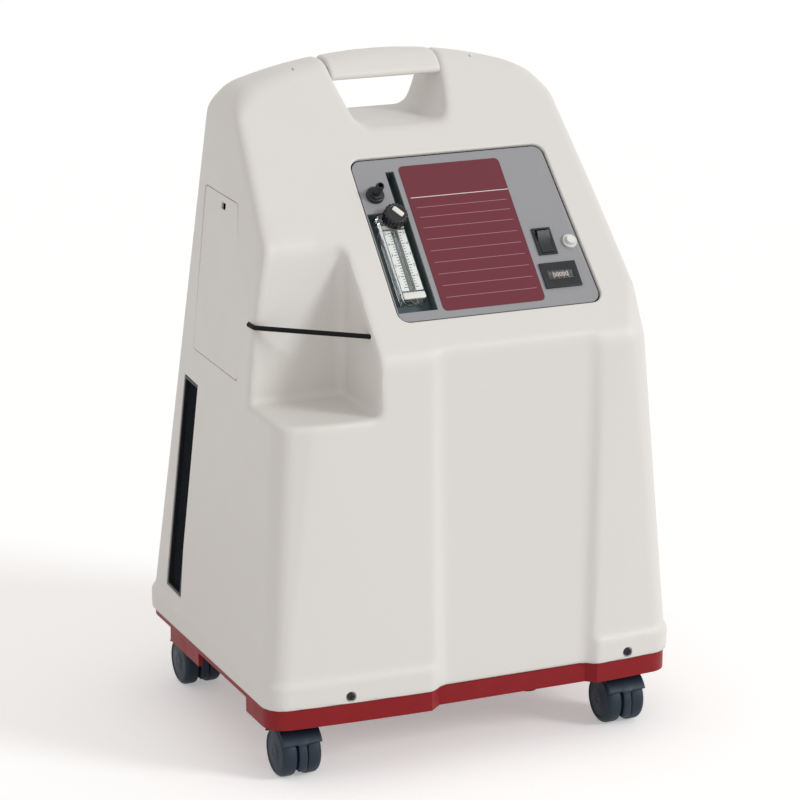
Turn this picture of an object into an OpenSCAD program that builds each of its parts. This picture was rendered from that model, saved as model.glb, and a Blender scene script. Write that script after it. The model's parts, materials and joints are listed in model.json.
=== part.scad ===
// Upright oxygen concentrator on four twin-wheel casters.
// Frame: origin on the floor under the middle of the cabinet, +Z up, the
// control face looks towards -Y, +X is to the right of a person facing it.

/* [Cabinet] */
// Height of the top of the handle above the floor
overall_h = 665; // [660:1:670]
// Width over the bottom skirt
skirt_w = 440; // [430:1:450]
// Depth over the bottom skirt
skirt_d = 355; // [350:1:360]
// Height of the skirt band at the foot of the cabinet
skirt_h = 26; // [22:1:30]
// Height of the skirt's lower edge above the floor
skirt_z = 77.5; // [76:0.5:79]
// How far the skirt stands out from the walls above it
skirt_flare = 3; // [2:0.5:4]
// Bow of the front, from the middle to the corners
front_bow = 10; // [6:1:14]
// Wall thickness of the moulded cabinet
wall = 4; // [3.5:0.5:5]
// Draft of the side walls, in degrees
side_draft = 5; // [4.8:0.02:5.2]
// Draft of the rear wall, in degrees
rear_draft = 6.4; // [6:0.1:6.8]
// Lean of the lower front, in degrees
front_lean = 1.7; // [1.4:0.1:2]
// Rise of the control face, from the brow line to the top
face_rise = 250.4; // [248:0.2:254]
// Depth of the crown between the control face and the rear, at the top
crown_depth = 41; // [40:0.5:43]
// Radius of the vertical corners at the skirt
corner_r = 22; // [18:1:26]
// Radius of the crown seen from the front
crown_r = 490; // [470:5:510]
// Radius of the shoulders seen from the front
shoulder_r = 41; // [34:1:42]

/* [Front recess] */
// Left edge of the sunk middle of the lower front
recess_left = -48; // [-54:1:-44]
// Right edge of the sunk middle of the lower front
recess_right = 133; // [128:1:138]
// Depth of the sunk middle at the foot
recess_depth = 12; // [8:1:14]
// Width of each sloping side of the sunk middle
recess_side = 14; // [10:1:16]

/* [Bottle niche] */
// Inner side wall of the niche, left of the control face
niche_x = -102; // [-106:1:-100]
// Back wall of the niche
niche_y = -75; // [-80:1:-70]
// Depth of the niche's shelf below the brow line
niche_drop = 55.6; // [50:0.2:60]
// Diameter of the elastic bottle strap
strap_d = 4.6; // [4:0.2:5]
// Height of the strap above the shelf
strap_rise = 77; // [70:1:84]

/* [Handle] */
// Length of the gap that the handle bar bridges
handle_gap = 121; // [116:1:126]
// Width of the hand opening at its floor
handle_floor_w = 92; // [86:1:98]
// Depth of the hand opening's floor below the top
handle_drop = 64; // [60:1:66]
// Thickness of the handle bar from top to bottom
bar_h = 24; // [22:1:27]
// Front face of the handle bar
bar_front = 50; // [48:1:52]
// Depth of the handle bar
bar_depth = 47; // [44:1:48]
// Slit between the handle bar and the cabinet
bar_slit = 1.2; // [0.8:0.1:1.6]

/* [Control panel] */
// Left edge of the panel opening
panel_left = -70; // [-72:1:-68]
// Right edge of the panel opening at its lower end
panel_right = 148; // [146:1:150]
// How far the right edge leans in towards its upper end
panel_taper = 9; // [8:1:12]
// Lower edge of the panel opening, up the slope from the brow line
panel_low = 38.5; // [37:0.5:40]
// Length of the panel opening up the slope
panel_len = 183.5; // [180:0.5:186]
// Corner radius of the panel opening
panel_r = 12; // [10:1:14]
// How far the panel lies below the cabinet's surface
panel_sink = 2.5; // [2:0.5:3]
// Clearance around the panel moulding
panel_gap = 1.6; // [1.2:0.1:2]

/* [Flowmeter] */
// Width of the clear flowmeter block
meter_w = 24; // [20:1:25]
// Length of the clear flowmeter block
meter_len = 96; // [94:0.5:96.5]
// Thickness of the clear flowmeter block
meter_t = 14; // [13:0.5:15]
// Bore of the metering tube
tube_bore = 7; // [6:0.5:8]
// Diameter of the float ball
float_d = 6.4; // [5:0.2:6.4]
// Travel of the float ball
float_travel = 62; // [50:1:64]
// Diameter of the flow knob
knob_d = 24; // [20:1:25]
// Height of the flow knob
knob_h = 13; // [11:1:15]
// Radius of the outlet nipple's tail
outlet_r = 4.2; // [3.8:0.1:4.6]

/* [Casters] */
// Diameter of the caster wheels
wheel_d = 50; // [48:1:50]
// Width of each caster wheel
wheel_w = 16; // [15:0.5:17]
// Centre distance of the two wheels of a caster
wheel_pitch = 25.5; // [25:0.5:27]
// Distance from the swivel axis to the wheel axle
caster_trail = 15; // [13:1:17]
// Diameter of the caster stem
stem_d = 11; // [10:0.5:12]
// Distance of the caster stems from the sides of the skirt
caster_side = 43.5; // [42:0.5:48]
// Distance of the caster stems from the front and rear of the skirt
caster_end = 57.5; // [56:0.5:60]
// Height of the red band of the base
band_h = 19.5; // [18:0.5:20]

/* [Inside] */
// Diameter of each sieve bed
bed_d = 88; // [80:1:90]
// Height of the sieve beds
bed_h = 340; // [320:5:345]
// Height of the product tank
tank_h = 240; // [220:5:260]
// Diameter of the compressor motor
motor_d = 104; // [96:1:108]
// Height of the compressor shaft above the floor
shaft_z = 168; // [164:1:174]
// Size of the square cooling fan
fan_size = 119; // [110:1:120]
// Height of the fan shelf
shelf_z = 290; // [285:1:296]

/* [Hidden] */
$fn = 48;
hull_fn = 32;
eps = 0.01;
far = 400;

// Colours
cream = [0.86, 0.85, 0.82];
red = [0.45, 0.09, 0.12];
dark = [0.10, 0.12, 0.14];
grey = [0.60, 0.61, 0.63];
maroon = [0.46, 0.24, 0.28];
steel = [0.72, 0.73, 0.75];
blue_black = [0.16, 0.21, 0.26];
clear_grey = [0.85, 0.90, 0.92];

// Cabinet: walls as functions of height
body_z = skirt_z + skirt_h;
half_w = skirt_w / 2 - skirt_flare;
half_d = skirt_d / 2 - skirt_flare;
brow_h = overall_h - face_rise;
brow_y = -half_d + (brow_h - body_z) * tan(front_lean);
niche_z = brow_h - niche_drop;
handle_floor_z = overall_h - handle_drop;
function side_x(z) = half_w - (z - body_z) * tan(side_draft);
function rear_y(z) = half_d - (z - body_z) * tan(rear_draft);
function front_y(z) = -half_d + (z - body_z) * tan(front_lean);
face_tilt = atan(face_rise / (rear_y(overall_h) - crown_depth - brow_y));
function face_y(z) = brow_y + (z - brow_h) / tan(face_tilt);

// Face plane: signed distance constant and sphere seats against each wall
face_k = -brow_y * sin(face_tilt) + brow_h * cos(face_tilt);
rear_k = half_d * cos(rear_draft) + body_z * sin(rear_draft);
front_k = half_d * cos(front_lean) + body_z * sin(front_lean);
function seat_face_y(z, r) = (z * cos(face_tilt) - face_k + r) / sin(face_tilt);
function seat_rear_y(z, r) = (rear_k - r - z * sin(rear_draft)) / cos(rear_draft);
function seat_front_y(z, r) = -(front_k - r - z * sin(front_lean)) / cos(front_lean);

// Edge radii of the cabinet
brow_r = 30;
crest_r = 26;
face_edge_r = 9;
rear_edge_r = 18;
edge_ball_heights = [450, 530];
edge_swell = 2;
shoulder_x = side_x(overall_h - 60) - shoulder_r / cos(side_draft);
shoulder_z = overall_h - crown_r + sqrt(pow(crown_r - shoulder_r, 2) - pow(shoulder_x, 2));
crown_end = asin(shoulder_x / (crown_r - shoulder_r));
shoulder_angles = [-6, 14, 34, 54];
crown_angles = [for (i = [0:3]) crown_end * i / 3];

// Height of a ball of radius r that touches both the face and the lower front
function brow_ball_z(r) = (cos(front_lean) * (face_k - r) - sin(face_tilt) * (front_k - r))
  / cos(face_tilt + front_lean);

// Balls of the rounded form: centre x, y, z and radius
function shoulder_ball(a, r, rear) =
  let (x = shoulder_x + (shoulder_r - r) * cos(a), z = shoulder_z + (shoulder_r - r) * sin(a))
  [x, rear ? seat_rear_y(z, r) : seat_face_y(z, r), z, r];
function crown_ball(a, r, rear) =
  let (x = (crown_r - r) * sin(a), z = overall_h - crown_r + (crown_r - r) * cos(a))
  [x, rear ? seat_rear_y(z, r) : seat_face_y(z, r), z, r];
function face_edge_ball(z, r) = [side_x(z) + edge_swell - r / cos(side_draft), seat_face_y(z, r), z, r];
brow_ball_h = brow_ball_z(brow_r);
form_balls = concat(
  [for (z = edge_ball_heights) face_edge_ball(z, face_edge_r)],
  [for (a = shoulder_angles) shoulder_ball(a, a < 30 ? face_edge_r : crest_r, false)],
  [for (a = shoulder_angles) shoulder_ball(a, a < 30 ? rear_edge_r : crest_r, true)],
  [for (a = crown_angles) crown_ball(a, crest_r, false)],
  [for (a = crown_angles) crown_ball(a, crest_r, true)],
  [[side_x(brow_ball_h) - brow_r, seat_front_y(brow_ball_h, brow_r), brow_ball_h, brow_r]]);

// The left pillar under the niche swells a little towards its front corner
shelf_swell = 9;
shelf_ball = [-(side_x(niche_z) + shelf_swell - corner_r),
  seat_front_y(niche_z, corner_r) + front_bow / 2, niche_z, corner_r];

module at_balls(list, inset) {
  for (b = list) translate([b[0], b[1], b[2]]) sphere(b[3] - inset, $fn = hull_fn);
}

// Plan of the skirt with its bowed front, drawn inset from the outer outline
function bow_y(x) = -skirt_d / 2 + front_bow * pow(2 * x / skirt_w, 2);
bow_steps = 12;
function unit(v) = v / norm(v);
function corner_arc(a, b, c, r, n) = r <= 0 ? [b] :
  let (u = unit(a - b), v = unit(c - b), half = acos(u * v) / 2,
    centre = b + unit(u + v) * r / sin(half), start = b + u * r / tan(half) - centre,
    finish = b + v * r / tan(half) - centre, a0 = atan2(start.y, start.x),
    turn = atan2(finish.y, finish.x) - a0, sweep = turn > 180 ? turn - 360 : turn < -180 ? turn + 360 : turn)
  [for (i = [0:n]) centre + r * [cos(a0 + sweep * i / n), sin(a0 + sweep * i / n)]];
function rounded(points, radii, n = 8) = let (m = len(points))
  [for (i = [0:m - 1]) each corner_arc(points[(i + m - 1) % m], points[i], points[(i + 1) % m], radii[i], n)];

module plan(inset, stepped = true, r = corner_r) {
  w = skirt_w / 2 - inset;
  d = skirt_d / 2 - inset;
  front = [for (i = [1:bow_steps - 1]) let (x = -w + 2 * w * i / bow_steps) [x, bow_y(x) + inset]];
  points = concat([[-w, d], [-w, bow_y(w) + inset]], front, [[w, bow_y(w) + inset], [w, d]]);
  radii = concat([r, r], [for (p = front) 0], [r, r]);
  difference() {
    polygon(rounded(points, radii));
    if (stepped) polygon([
      [recess_left - inset, -far], [recess_left - inset, -skirt_d / 2 + inset],
      [recess_left + recess_side - inset, -skirt_d / 2 + recess_depth + inset],
      [recess_right - recess_side + inset, -skirt_d / 2 + recess_depth + inset],
      [recess_right + inset, -skirt_d / 2 + inset], [recess_right + inset, -far]]);
  }
}

// Sunk middle of the lower front: it fades out at the brow
recess_top = overall_h - 225;
recess_top_depth = 4;
module front_recess(grow) {
  hull() {
    translate([0, 0, body_z - 60]) linear_extrude(eps) recess_outline(grow, recess_depth, recess_side, 0);
    translate([0, 0, recess_top]) linear_extrude(eps)
      recess_outline(grow, recess_top_depth, recess_side / 2, front_y(recess_top) - front_y(body_z - 60));
  }
}
module recess_outline(grow, depth, side, shift) {
  y = -half_d - skirt_flare + shift;
  slope = side / depth;
  polygon([
    [recess_left - grow - 40 * slope, y + grow - 40], [recess_left + side - grow, y + depth + grow],
    [recess_right - side + grow, y + depth + grow], [recess_right + grow + 40 * slope, y + grow - 40]]);
}

// Rounded form of the cabinet above its skirt, inset by the wall for its inside
module body_form(inset) {
  hull() {
    translate([0, 0, body_z - 1]) linear_extrude(1) plan(skirt_flare + inset, false);
    for (side = [0, 1]) mirror([side, 0, 0]) at_balls(form_balls, inset);
    at_balls([shelf_ball], inset);
  }
}

// Hand opening through the top, in the X-Z plane
module handle_outline(grow) {
  polygon(rounded([
    [-handle_gap / 2 - grow, overall_h + 40], [-handle_gap / 2 - grow, handle_floor_z + 26],
    [-handle_floor_w / 2 - grow / 2, handle_floor_z - grow],
    [handle_floor_w / 2 + grow / 2, handle_floor_z - grow],
    [handle_gap / 2 + grow, handle_floor_z + 26], [handle_gap / 2 + grow, overall_h + 40]],
    [0, 0, 9, 9, 0, 0]));
}
module handle_cut(grow) {
  translate([0, far, 0]) rotate([90, 0, 0]) linear_extrude(2 * far) handle_outline(grow);
}
module niche_cut(grow) {
  translate([-far, -far, niche_z - grow]) cube([far + niche_x + grow, far + niche_y + grow, far]);
}

// Frames of reference on the walls
module on_face(x, s) {
  translate([x, brow_y, brow_h]) rotate([face_tilt, 0, 0]) translate([0, s, 0]) children();
}
module on_left_wall(y, z) {
  translate([-side_x(z), y, z]) rotate([0, side_draft, 0]) rotate([90, 0, -90]) mirror([1, 0, 0]) children();
}
module on_side(right, y, z) {
  mirror([right ? 1 : 0, 0, 0]) on_left_wall(y, z) children();
}

// Outline of the panel opening, origin at the brow line
module panel_outline(grow) {
  polygon(rounded([
    [panel_left - grow, panel_low - grow], [panel_right + grow, panel_low - grow],
    [panel_right - panel_taper + grow, panel_low + panel_len + grow],
    [panel_left - grow, panel_low + panel_len + grow]],
    [panel_r + grow, panel_r + grow, panel_r + grow, panel_r + grow]));
}

// Side openings
filter_y = 97;
filter_z = 228;
filter_w = 40;
filter_len = 226;
filter_lean = 2.7;
filter_gap = 0.3;
filter_wall = 3;
filter_t = 14;
door_low = brow_h - 41.6;
door_high = brow_h + 126.4;
door_front_low = -41;
door_front_high = -3;
door_rear = 92;
door_t = 2.4;
door_gap = 0.8;
door_ledge = 5;
door_mid_y = 40;
door_mid_z = (door_low + door_high) / 2;
// The left wall bulges past the straight side where the door lies, most at its lower front corner
door_bulge = 2.05;
door_yaw = 1.78;
door_draft = side_draft + 0.54;
module on_door() {
  translate([-side_x(door_mid_z) - door_bulge, door_mid_y, door_mid_z]) rotate([0, door_draft, -door_yaw])
    rotate([90, 0, -90]) mirror([1, 0, 0]) children();
}
module filter_outline(grow) {
  rotate(filter_lean) square([filter_w + 2 * grow, filter_len + 2 * grow], center = true);
}
module door_outline(grow) {
  polygon(rounded([
    [door_front_low - door_mid_y - grow, door_low - door_mid_z - grow],
    [door_rear - door_mid_y + grow, door_low - door_mid_z - grow],
    [door_rear - door_mid_y + grow, door_high - door_mid_z + grow],
    [door_front_high - door_mid_y - grow, door_high - door_mid_z + grow]], [5, 5, 5, 5]));
}

// Screws of the cabinet and rear power inlet
screw_z = skirt_z + 8.5;
screw_shank_d = 4;
screw_head_d = 8;
front_screw_x = [-136, 165];
rear_screw_x = [-150, 150];
inlet_x = skirt_w / 2 - 100;
inlet_z = 150;
inlet_w = 50;
inlet_h = 28;

// Bottle strap ends
strap_z = niche_z + strap_rise;
strap_bulge = shelf_swell - (shelf_swell - edge_swell) * strap_rise / (edge_ball_heights[1] - niche_z);
strap_wall_x = -side_x(strap_z) - strap_bulge - 0.4;
strap_corner = [strap_wall_x, niche_y, strap_z];
strap_back = [strap_wall_x, niche_y + 14, strap_z];
strap_front = [niche_x, -139, strap_z - 3];
strap_hole_d = strap_d + 0.6;
strap_off = strap_d / 2 + 0.5;
strap_turn = strap_corner + [-strap_off, -strap_off, 0];
strap_dir = unit(strap_front - strap_turn);

module bar_between(a, b, d) {
  v = b - a;
  translate(a) rotate([0, acos(v.z / norm(v)), atan2(v.y, v.x)]) cylinder(d = d, h = norm(v));
}

// Handle bar section, in the Y-Z plane
function face_height(y) = brow_h + (y - brow_y) * tan(face_tilt);
bar_rear = bar_front + bar_depth;
bar_low = overall_h - bar_h;
tenon_w = 20;
tenon_h = 12;
tenon_y = bar_front + bar_depth / 2 + 4;
tenon_z = overall_h - bar_h / 2 - 4;
tenon_fit = 0.05;
module bar_section() {
  crest_y = face_y(overall_h);
  polygon(rounded([
    [bar_front, bar_low], [crest_y, overall_h], [bar_rear - 9, overall_h],
    [bar_rear, overall_h - 6], [bar_rear, bar_low]], [5, 20, 6, 3, 8]));
}

module cabinet() {
  color(cream) difference() {
    difference() {
      union() {
        body_form(0);
        translate([0, 0, skirt_z]) linear_extrude(skirt_h) plan(0);
      }
      front_recess(0);
      niche_cut(0);
      handle_cut(0);
    }
    difference() {
      union() {
        body_form(wall);
        translate([0, 0, skirt_z - 1]) linear_extrude(skirt_h + 1) plan(wall);
      }
      front_recess(wall);
      niche_cut(wall);
      handle_cut(wall);
    }
    on_face(0, 0) translate([0, 0, -4 * wall]) linear_extrude(5 * wall) panel_outline(0);
    for (right = [false, true]) on_side(right, filter_y, filter_z)
      translate([0, 0, -3 * wall]) linear_extrude(6 * wall) filter_outline(0);
    on_door() {
      translate([0, 0, -door_t]) linear_extrude(4 * wall) door_outline(0);
      translate([0, 0, -3 * wall]) linear_extrude(4 * wall) door_outline(-door_ledge);
    }
    at_screws() {
      cylinder(d = screw_shank_d + 0.4, h = 60, center = true);
      translate([0, 0, -screw_sink]) cylinder(d = screw_head_d + 3, h = 20);
    }
    on_rear(inlet_x, inlet_z) translate([0, 0, -20])
      linear_extrude(40) square([inlet_w + 0.4, inlet_h + 0.4], center = true);
    translate([-tenon_reach, tenon_y - tenon_w / 2 - tenon_fit, tenon_z - tenon_h / 2 - tenon_fit])
      cube([2 * tenon_reach, tenon_w + 2 * tenon_fit, tenon_h + 2 * tenon_fit]);
    bar_between(strap_back + [-3, 0, 0], strap_back + [2 * wall, 0, 0], strap_hole_d);
    bar_between(strap_front - 6 * strap_dir, strap_front + 1.5 * wall * strap_dir, strap_hole_d);
  }
}

tenon_reach = handle_gap / 2 + wall + 1;
module handle_bar() {
  length = handle_gap - 2 * bar_slit;
  color(cream) union() {
    translate([-length / 2, 0, 0]) rotate([90, 0, 90]) linear_extrude(length) bar_section();
    translate([-tenon_reach, tenon_y - tenon_w / 2, tenon_z - tenon_h / 2])
      cube([2 * tenon_reach, tenon_w, tenon_h]);
  }
}

// Base tray: a deck under the cabinet, a red band below it and a rim that the skirt drops over
band_z = skirt_z - band_h;
band_inset = 3;
band_wall = 4;
deck_t = 5;
rim_gap = 1;
rim_t = 3;
rim_h = 15;
rim_inset = wall + rim_gap;
socket_od = 16;
socket_fit = 0.05;
stem_fit = 0.05;
socket_top = skirt_z + 14;
boss_d = 25;
side_cut_front = -102;
side_cut_rear = 30;
side_cut_end = 112;
side_cut_depth = 34;
side_band = 3;
function caster_xy(right, rear) =
  [(right ? 1 : -1) * (skirt_w / 2 - caster_side) + caster_shift,
   (rear ? 1 : -1) * (skirt_d / 2 - caster_end)];
caster_shift = -4;
caster_places = [for (right = [false, true], rear = [false, true]) caster_xy(right, rear)];
module ring(outer, inner) {
  difference() {
    plan(outer);
    plan(inner);
  }
}
module base_tray() {
  color(red) difference() {
    union() {
      translate([0, 0, skirt_z - deck_t]) linear_extrude(deck_t) plan(band_inset);
      difference() {
        translate([0, 0, band_z]) linear_extrude(band_h) ring(band_inset, band_inset + band_wall);
        for (side = [0, 1], span = [[side_cut_front, side_cut_rear], [side_cut_end, far]])
          mirror([side, 0, 0]) translate([-skirt_w, span[0], band_z - 1])
            cube([skirt_w / 2 + side_cut_depth, span[1] - span[0], band_h - deck_t - side_band + 1 + 3]);
      }
      difference() {
        translate([0, 0, skirt_z]) linear_extrude(rim_h) ring(rim_inset, rim_inset + rim_t);
        front_recess(rim_inset);
      }
      for (p = caster_places) translate([p.x, p.y, band_z]) cylinder(d = boss_d, h = socket_top + 3 - band_z);
      at_screws() translate([0, 0, -rim_inset - screw_boss_len])
        cylinder(d = 2.4 * screw_shank_d, h = screw_boss_len + 0.5);
    }
    for (p = caster_places) translate([p.x, p.y, band_z - 1])
      cylinder(d = socket_od + 2 * socket_fit, h = socket_top - band_z + 1);
    for (p = mount_places) translate([p.x, p.y, band_z]) cylinder(d = mount_waist_d + 0.2, h = band_h + 1);
    at_screws() cylinder(d = screw_shank_d + 0.1, h = 2 * screw_len, center = true);
  }
}

// Cabinet screws: each frame has +Z along the screw, out of the skirt
screw_sink = 2;
screw_len = 12;
screw_boss_len = 7;
module at_screws() {
  for (x = front_screw_x) translate([x, bow_y(x), screw_z]) rotate([90, 0, 0]) children();
  for (x = rear_screw_x) translate([x, skirt_d / 2, screw_z]) rotate([-90, 0, 0]) children();
}
module cabinet_screws() {
  color(dark) at_screws() difference() {
    union() {
      translate([0, 0, -screw_sink - screw_len + 2]) cylinder(d = screw_shank_d, h = screw_len - 2);
      translate([0, 0, -screw_sink]) cylinder(d = screw_head_d, h = screw_sink - 0.1);
    }
    translate([0, 0, -0.9]) linear_extrude(2) cross_slot(screw_head_d - 3, 1.2);
  }
}
module cross_slot(length, width) {
  square([length, width], center = true);
  square([width, length], center = true);
}

door_seat = 0.1;
finger_w = 12;
finger_h = 7;
module access_door() {
  rib_depth = 8;
  rib_t = 2.5;
  color(cream) on_door() difference() {
    union() {
      translate([0, 0, -door_t + door_seat]) linear_extrude(door_t - door_seat) door_outline(-door_gap);
      translate([0, 0, -door_t - rib_depth]) linear_extrude(rib_depth + 0.5) difference() {
        door_outline(-door_ledge - 0.6);
        door_outline(-door_ledge - 0.6 - rib_t);
      }
    }
    translate([-3, door_high - door_mid_z - 11, -door_t - 1]) linear_extrude(door_t + 2)
      square([finger_w, finger_h], center = true);
  }
}

foam_sink = 2;
foam_t = 9.5;
foam_gap = 0.1;
foam_lip = 2;
module filter_frame(right) {
  color(cream) on_side(right, filter_y, filter_z) difference() {
    translate([0, 0, -filter_t + 0.5]) linear_extrude(filter_t) filter_outline(-filter_gap);
    translate([0, 0, -foam_sink - foam_t - foam_gap]) linear_extrude(filter_t)
      filter_outline(-filter_gap - filter_wall);
    translate([0, 0, -filter_t]) linear_extrude(filter_t)
      filter_outline(-filter_gap - filter_wall - foam_lip);
  }
}
module filter_foam(right) {
  color(dark) on_side(right, filter_y, filter_z) translate([0, 0, -foam_sink - foam_t])
    linear_extrude(foam_t) filter_outline(-filter_gap - filter_wall - foam_gap);
}

module bottle_strap() {
  start = strap_back + [-strap_off, 0, 0];
  knot = strap_d + 2.6;
  knot_off = wall + knot / 2 + 0.4;
  span = norm(strap_front - strap_turn) + 1.3 * wall;
  away = atan2(strap_dir.y, strap_dir.x);
  color(dark) union() {
    translate(strap_back + [knot_off, 0, 0]) rotate(90) sphere(d = knot);
    bar_between(strap_back + [knot_off, 0, 0], start, strap_d);
    translate(start) rotate(135) sphere(d = strap_d + 1);
    bar_between(start, strap_turn, strap_d);
    translate(strap_turn) rotate(225 + away / 2) sphere(d = strap_d + 1);
    translate(strap_turn) rotate([0, acos(strap_dir.z), away]) cylinder(d = strap_d, h = span);
  }
}

// Control panel, in the face's frame: x across, y up the slope, z outwards
gasket_t = 1;
flange_t = 2.5;
flange_w = 8;
seat_gap = 0.25;
panel_seat = -(wall + seat_gap);
panel_back = panel_seat - gasket_t - flange_t;
trough_floor = -17.5;
trough_wall = 2;
trough_left = panel_left + panel_gap + 1;
trough_right = panel_left + 44;
trough_low = panel_low + 11.5;
trough_step = panel_low + 122.5;
trough_high = panel_low + 167.5;
channel_left = panel_left + 35;
meter_x = panel_left + 25;
meter_low = trough_low + 14;
knob_x = meter_x + 2;
knob_s = meter_low + meter_len - 8;
outlet_x = panel_left + 16.5;
outlet_s = panel_low + 142;
switch_x = panel_left + 177;
switch_s = panel_low + 73;
switch_w = 20;
switch_len = 30;
switch_pin_z = -9;
breaker_x = panel_left + 203.5;
breaker_s = panel_low + 70;
breaker_d = 15;
button_d = 8.8;
hour_x = panel_left + 182;
hour_s = panel_low + 34.5;
hour_w = 39;
hour_h = 28;
label_left = panel_left + 49.5;
label_w = 108.5;
label_low = panel_low + 9;
label_len = 163;
label_t = 0.6;
module trough_outline(grow) {
  polygon([
    [trough_left - grow, trough_low - grow], [trough_right + grow, trough_low - grow],
    [trough_right + grow, trough_high + grow], [channel_left - grow, trough_high + grow],
    [channel_left - grow, trough_step + grow], [trough_left - grow, trough_step + grow]]);
}
module slab(z0, z1) {
  translate([0, 0, z0]) linear_extrude(z1 - z0) children();
}
meter_ports = [meter_low + 6, knob_s];
port_d = 8;
module panel_bezel() {
  color(grey) on_face(0, 0) difference() {
    union() {
      slab(panel_back, -panel_sink) panel_outline(-panel_gap);
      slab(panel_back, panel_seat - gasket_t) panel_outline(flange_w);
      slab(trough_floor - trough_wall, panel_back + 0.5) trough_outline(trough_wall);
    }
    slab(trough_floor, 1) trough_outline(0);
    for (s = meter_ports) translate([meter_x, s, trough_floor - 5]) cylinder(d = port_d + 0.1, h = 10);
    translate([outlet_x, outlet_s, panel_back - 1]) cylinder(d = 2 * outlet_r + 4.1, h = 20);
    translate([switch_x, switch_s, panel_back - 1]) slab(0, 20)
      square([switch_w - 3.8, switch_len - 1.4], center = true);
    translate([breaker_x, breaker_s, panel_back - 1]) cylinder(d = breaker_d - 2.9, h = 20);
    translate([hour_x, hour_s, panel_back - 1]) slab(0, 20)
      square([hour_w - 3.8, hour_h - 3.8], center = true);
  }
}
module panel_gasket() {
  color(dark) on_face(0, 0) slab(panel_seat - gasket_t, panel_seat) difference() {
    panel_outline(flange_w);
    panel_outline(-panel_gap + 0.05);
  }
}
module label_plate() {
  r = 5;
  color(maroon) on_face(label_left, label_low) slab(-panel_sink, -panel_sink + label_t)
    polygon(rounded([[0, 0], [label_w, 0], [label_w, label_len], [0, label_len]], [r, r, r, r]));
}
meter_top = trough_floor + meter_t;
knob_stem_d = 6;
stem_depth = 6;
module flowmeter_block() {
  tube_low = meter_low + 5;
  color(clear_grey, 0.45) on_face(0, 0) difference() {
    union() {
      slab(trough_floor, meter_top) translate([meter_x - meter_w / 2, meter_low])
        square([meter_w, meter_len]);
      for (s = meter_ports) translate([meter_x, s, trough_floor - 9]) cylinder(d = port_d, h = 9.5);
    }
    translate([meter_x, tube_low, trough_floor + meter_t / 2]) rotate([-90, 0, 0])
      cylinder(d = tube_bore, h = float_travel + float_d + 2);
    translate([knob_x, knob_s, meter_top - stem_depth]) cylinder(d = knob_stem_d + 0.1, h = stem_depth + 1);
  }
}
module flow_float() {
  color(steel) on_face(meter_x, meter_low + 5 + float_d / 2 + 0.4)
    translate([0, 0, trough_floor + meter_t / 2]) sphere(d = float_d);
}
module flow_knob() {
  base = meter_top + 2;
  color(dark) on_face(knob_x, knob_s) {
    translate([0, 0, meter_top - stem_depth + 0.3]) cylinder(d = knob_stem_d, h = stem_depth + 3);
    difference() {
      translate([0, 0, base]) cylinder(d = knob_d, h = knob_h);
      for (i = [0:11]) rotate(i * 30) translate([knob_d / 2 + 0.6, 0, base - 1])
        cylinder(d = 3, h = knob_h + 2, $fn = 24);
      translate([0, knob_d / 2 - 3, base + knob_h]) cube([1.6, 5, 1.6], center = true);
    }
  }
}
outlet_len = 15;
outlet_flange_d = 18;
module oxygen_outlet() {
  color(dark) on_face(outlet_x, outlet_s) difference() {
    union() {
      slab(-panel_sink, 3) circle(d = outlet_flange_d);
      cylinder(r = outlet_r, h = 3 + outlet_len);
      translate([0, 0, panel_back - 10]) cylinder(r = outlet_r + 2, h = -panel_back + 10);
      translate([0, 0, panel_back - 4]) cylinder(r = outlet_r + 5, h = 4);
    }
    translate([0, 0, panel_back - 11]) cylinder(r = outlet_r - 1.7, h = 50);
  }
}
rocker_w = switch_w - 7;
rocker_reach = 11.5;
rocker_deep = 5;
rocker_tilt = 8;
rocker_pin_d = 3;
module power_switch() {
  color(dark) on_face(switch_x, switch_s) difference() {
    union() {
      slab(-panel_sink, -panel_sink + 1.6) square([switch_w, switch_len], center = true);
      slab(-22, -panel_sink + 0.5) square([switch_w - 4, switch_len - 1.6], center = true);
    }
    slab(switch_pin_z - rocker_deep - 2, 3)
      square([rocker_w + 0.6, 2 * rocker_reach + 3.4], center = true);
    translate([0, 0, switch_pin_z]) rotate([0, 90, 0])
      cylinder(d = rocker_pin_d + 0.1, h = rocker_w + 2.6, center = true);
  }
}
module power_rocker() {
  color(dark) on_face(switch_x, switch_s) translate([0, 0, switch_pin_z]) rotate([rocker_tilt, 0, 0])
  union() {
    rotate([90, 0, 90]) translate([0, 0, -rocker_w / 2]) linear_extrude(rocker_w) polygon([
      [-7, -rocker_deep], [7, -rocker_deep], [rocker_reach, 4], [rocker_reach, 10.5],
      [0, 8], [-rocker_reach, 10.5], [-rocker_reach, 4]]);
    rotate([0, 90, 0]) cylinder(d = rocker_pin_d, h = rocker_w + 2, center = true);
  }
}
module breaker_body() {
  color(dark) on_face(breaker_x, breaker_s) difference() {
    union() {
      slab(-panel_sink, 0) circle(d = breaker_d);
      slab(-24, -panel_sink + 0.5) circle(d = breaker_d - 3);
    }
    slab(-16, 2) circle(d = button_d + 0.4);
  }
}
module breaker_button() {
  color("white") on_face(breaker_x, breaker_s) slab(-15.5, 3.5) circle(d = button_d);
}
window_w = 27;
window_h = 9;
module hour_meter() {
  color(dark) on_face(hour_x, hour_s) difference() {
    union() {
      slab(-panel_sink, -panel_sink + 2) square([hour_w, hour_h], center = true);
      slab(-26, -panel_sink + 0.5) square([hour_w - 4, hour_h - 4], center = true);
    }
    slab(-panel_sink + 0.6, 1) square([window_w, window_h], center = true);
  }
}
module hour_window() {
  color(clear_grey) on_face(hour_x, hour_s) slab(-panel_sink + 0.6, -panel_sink + 1.6)
    square([window_w - 0.2, window_h - 0.2], center = true);
}

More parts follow.
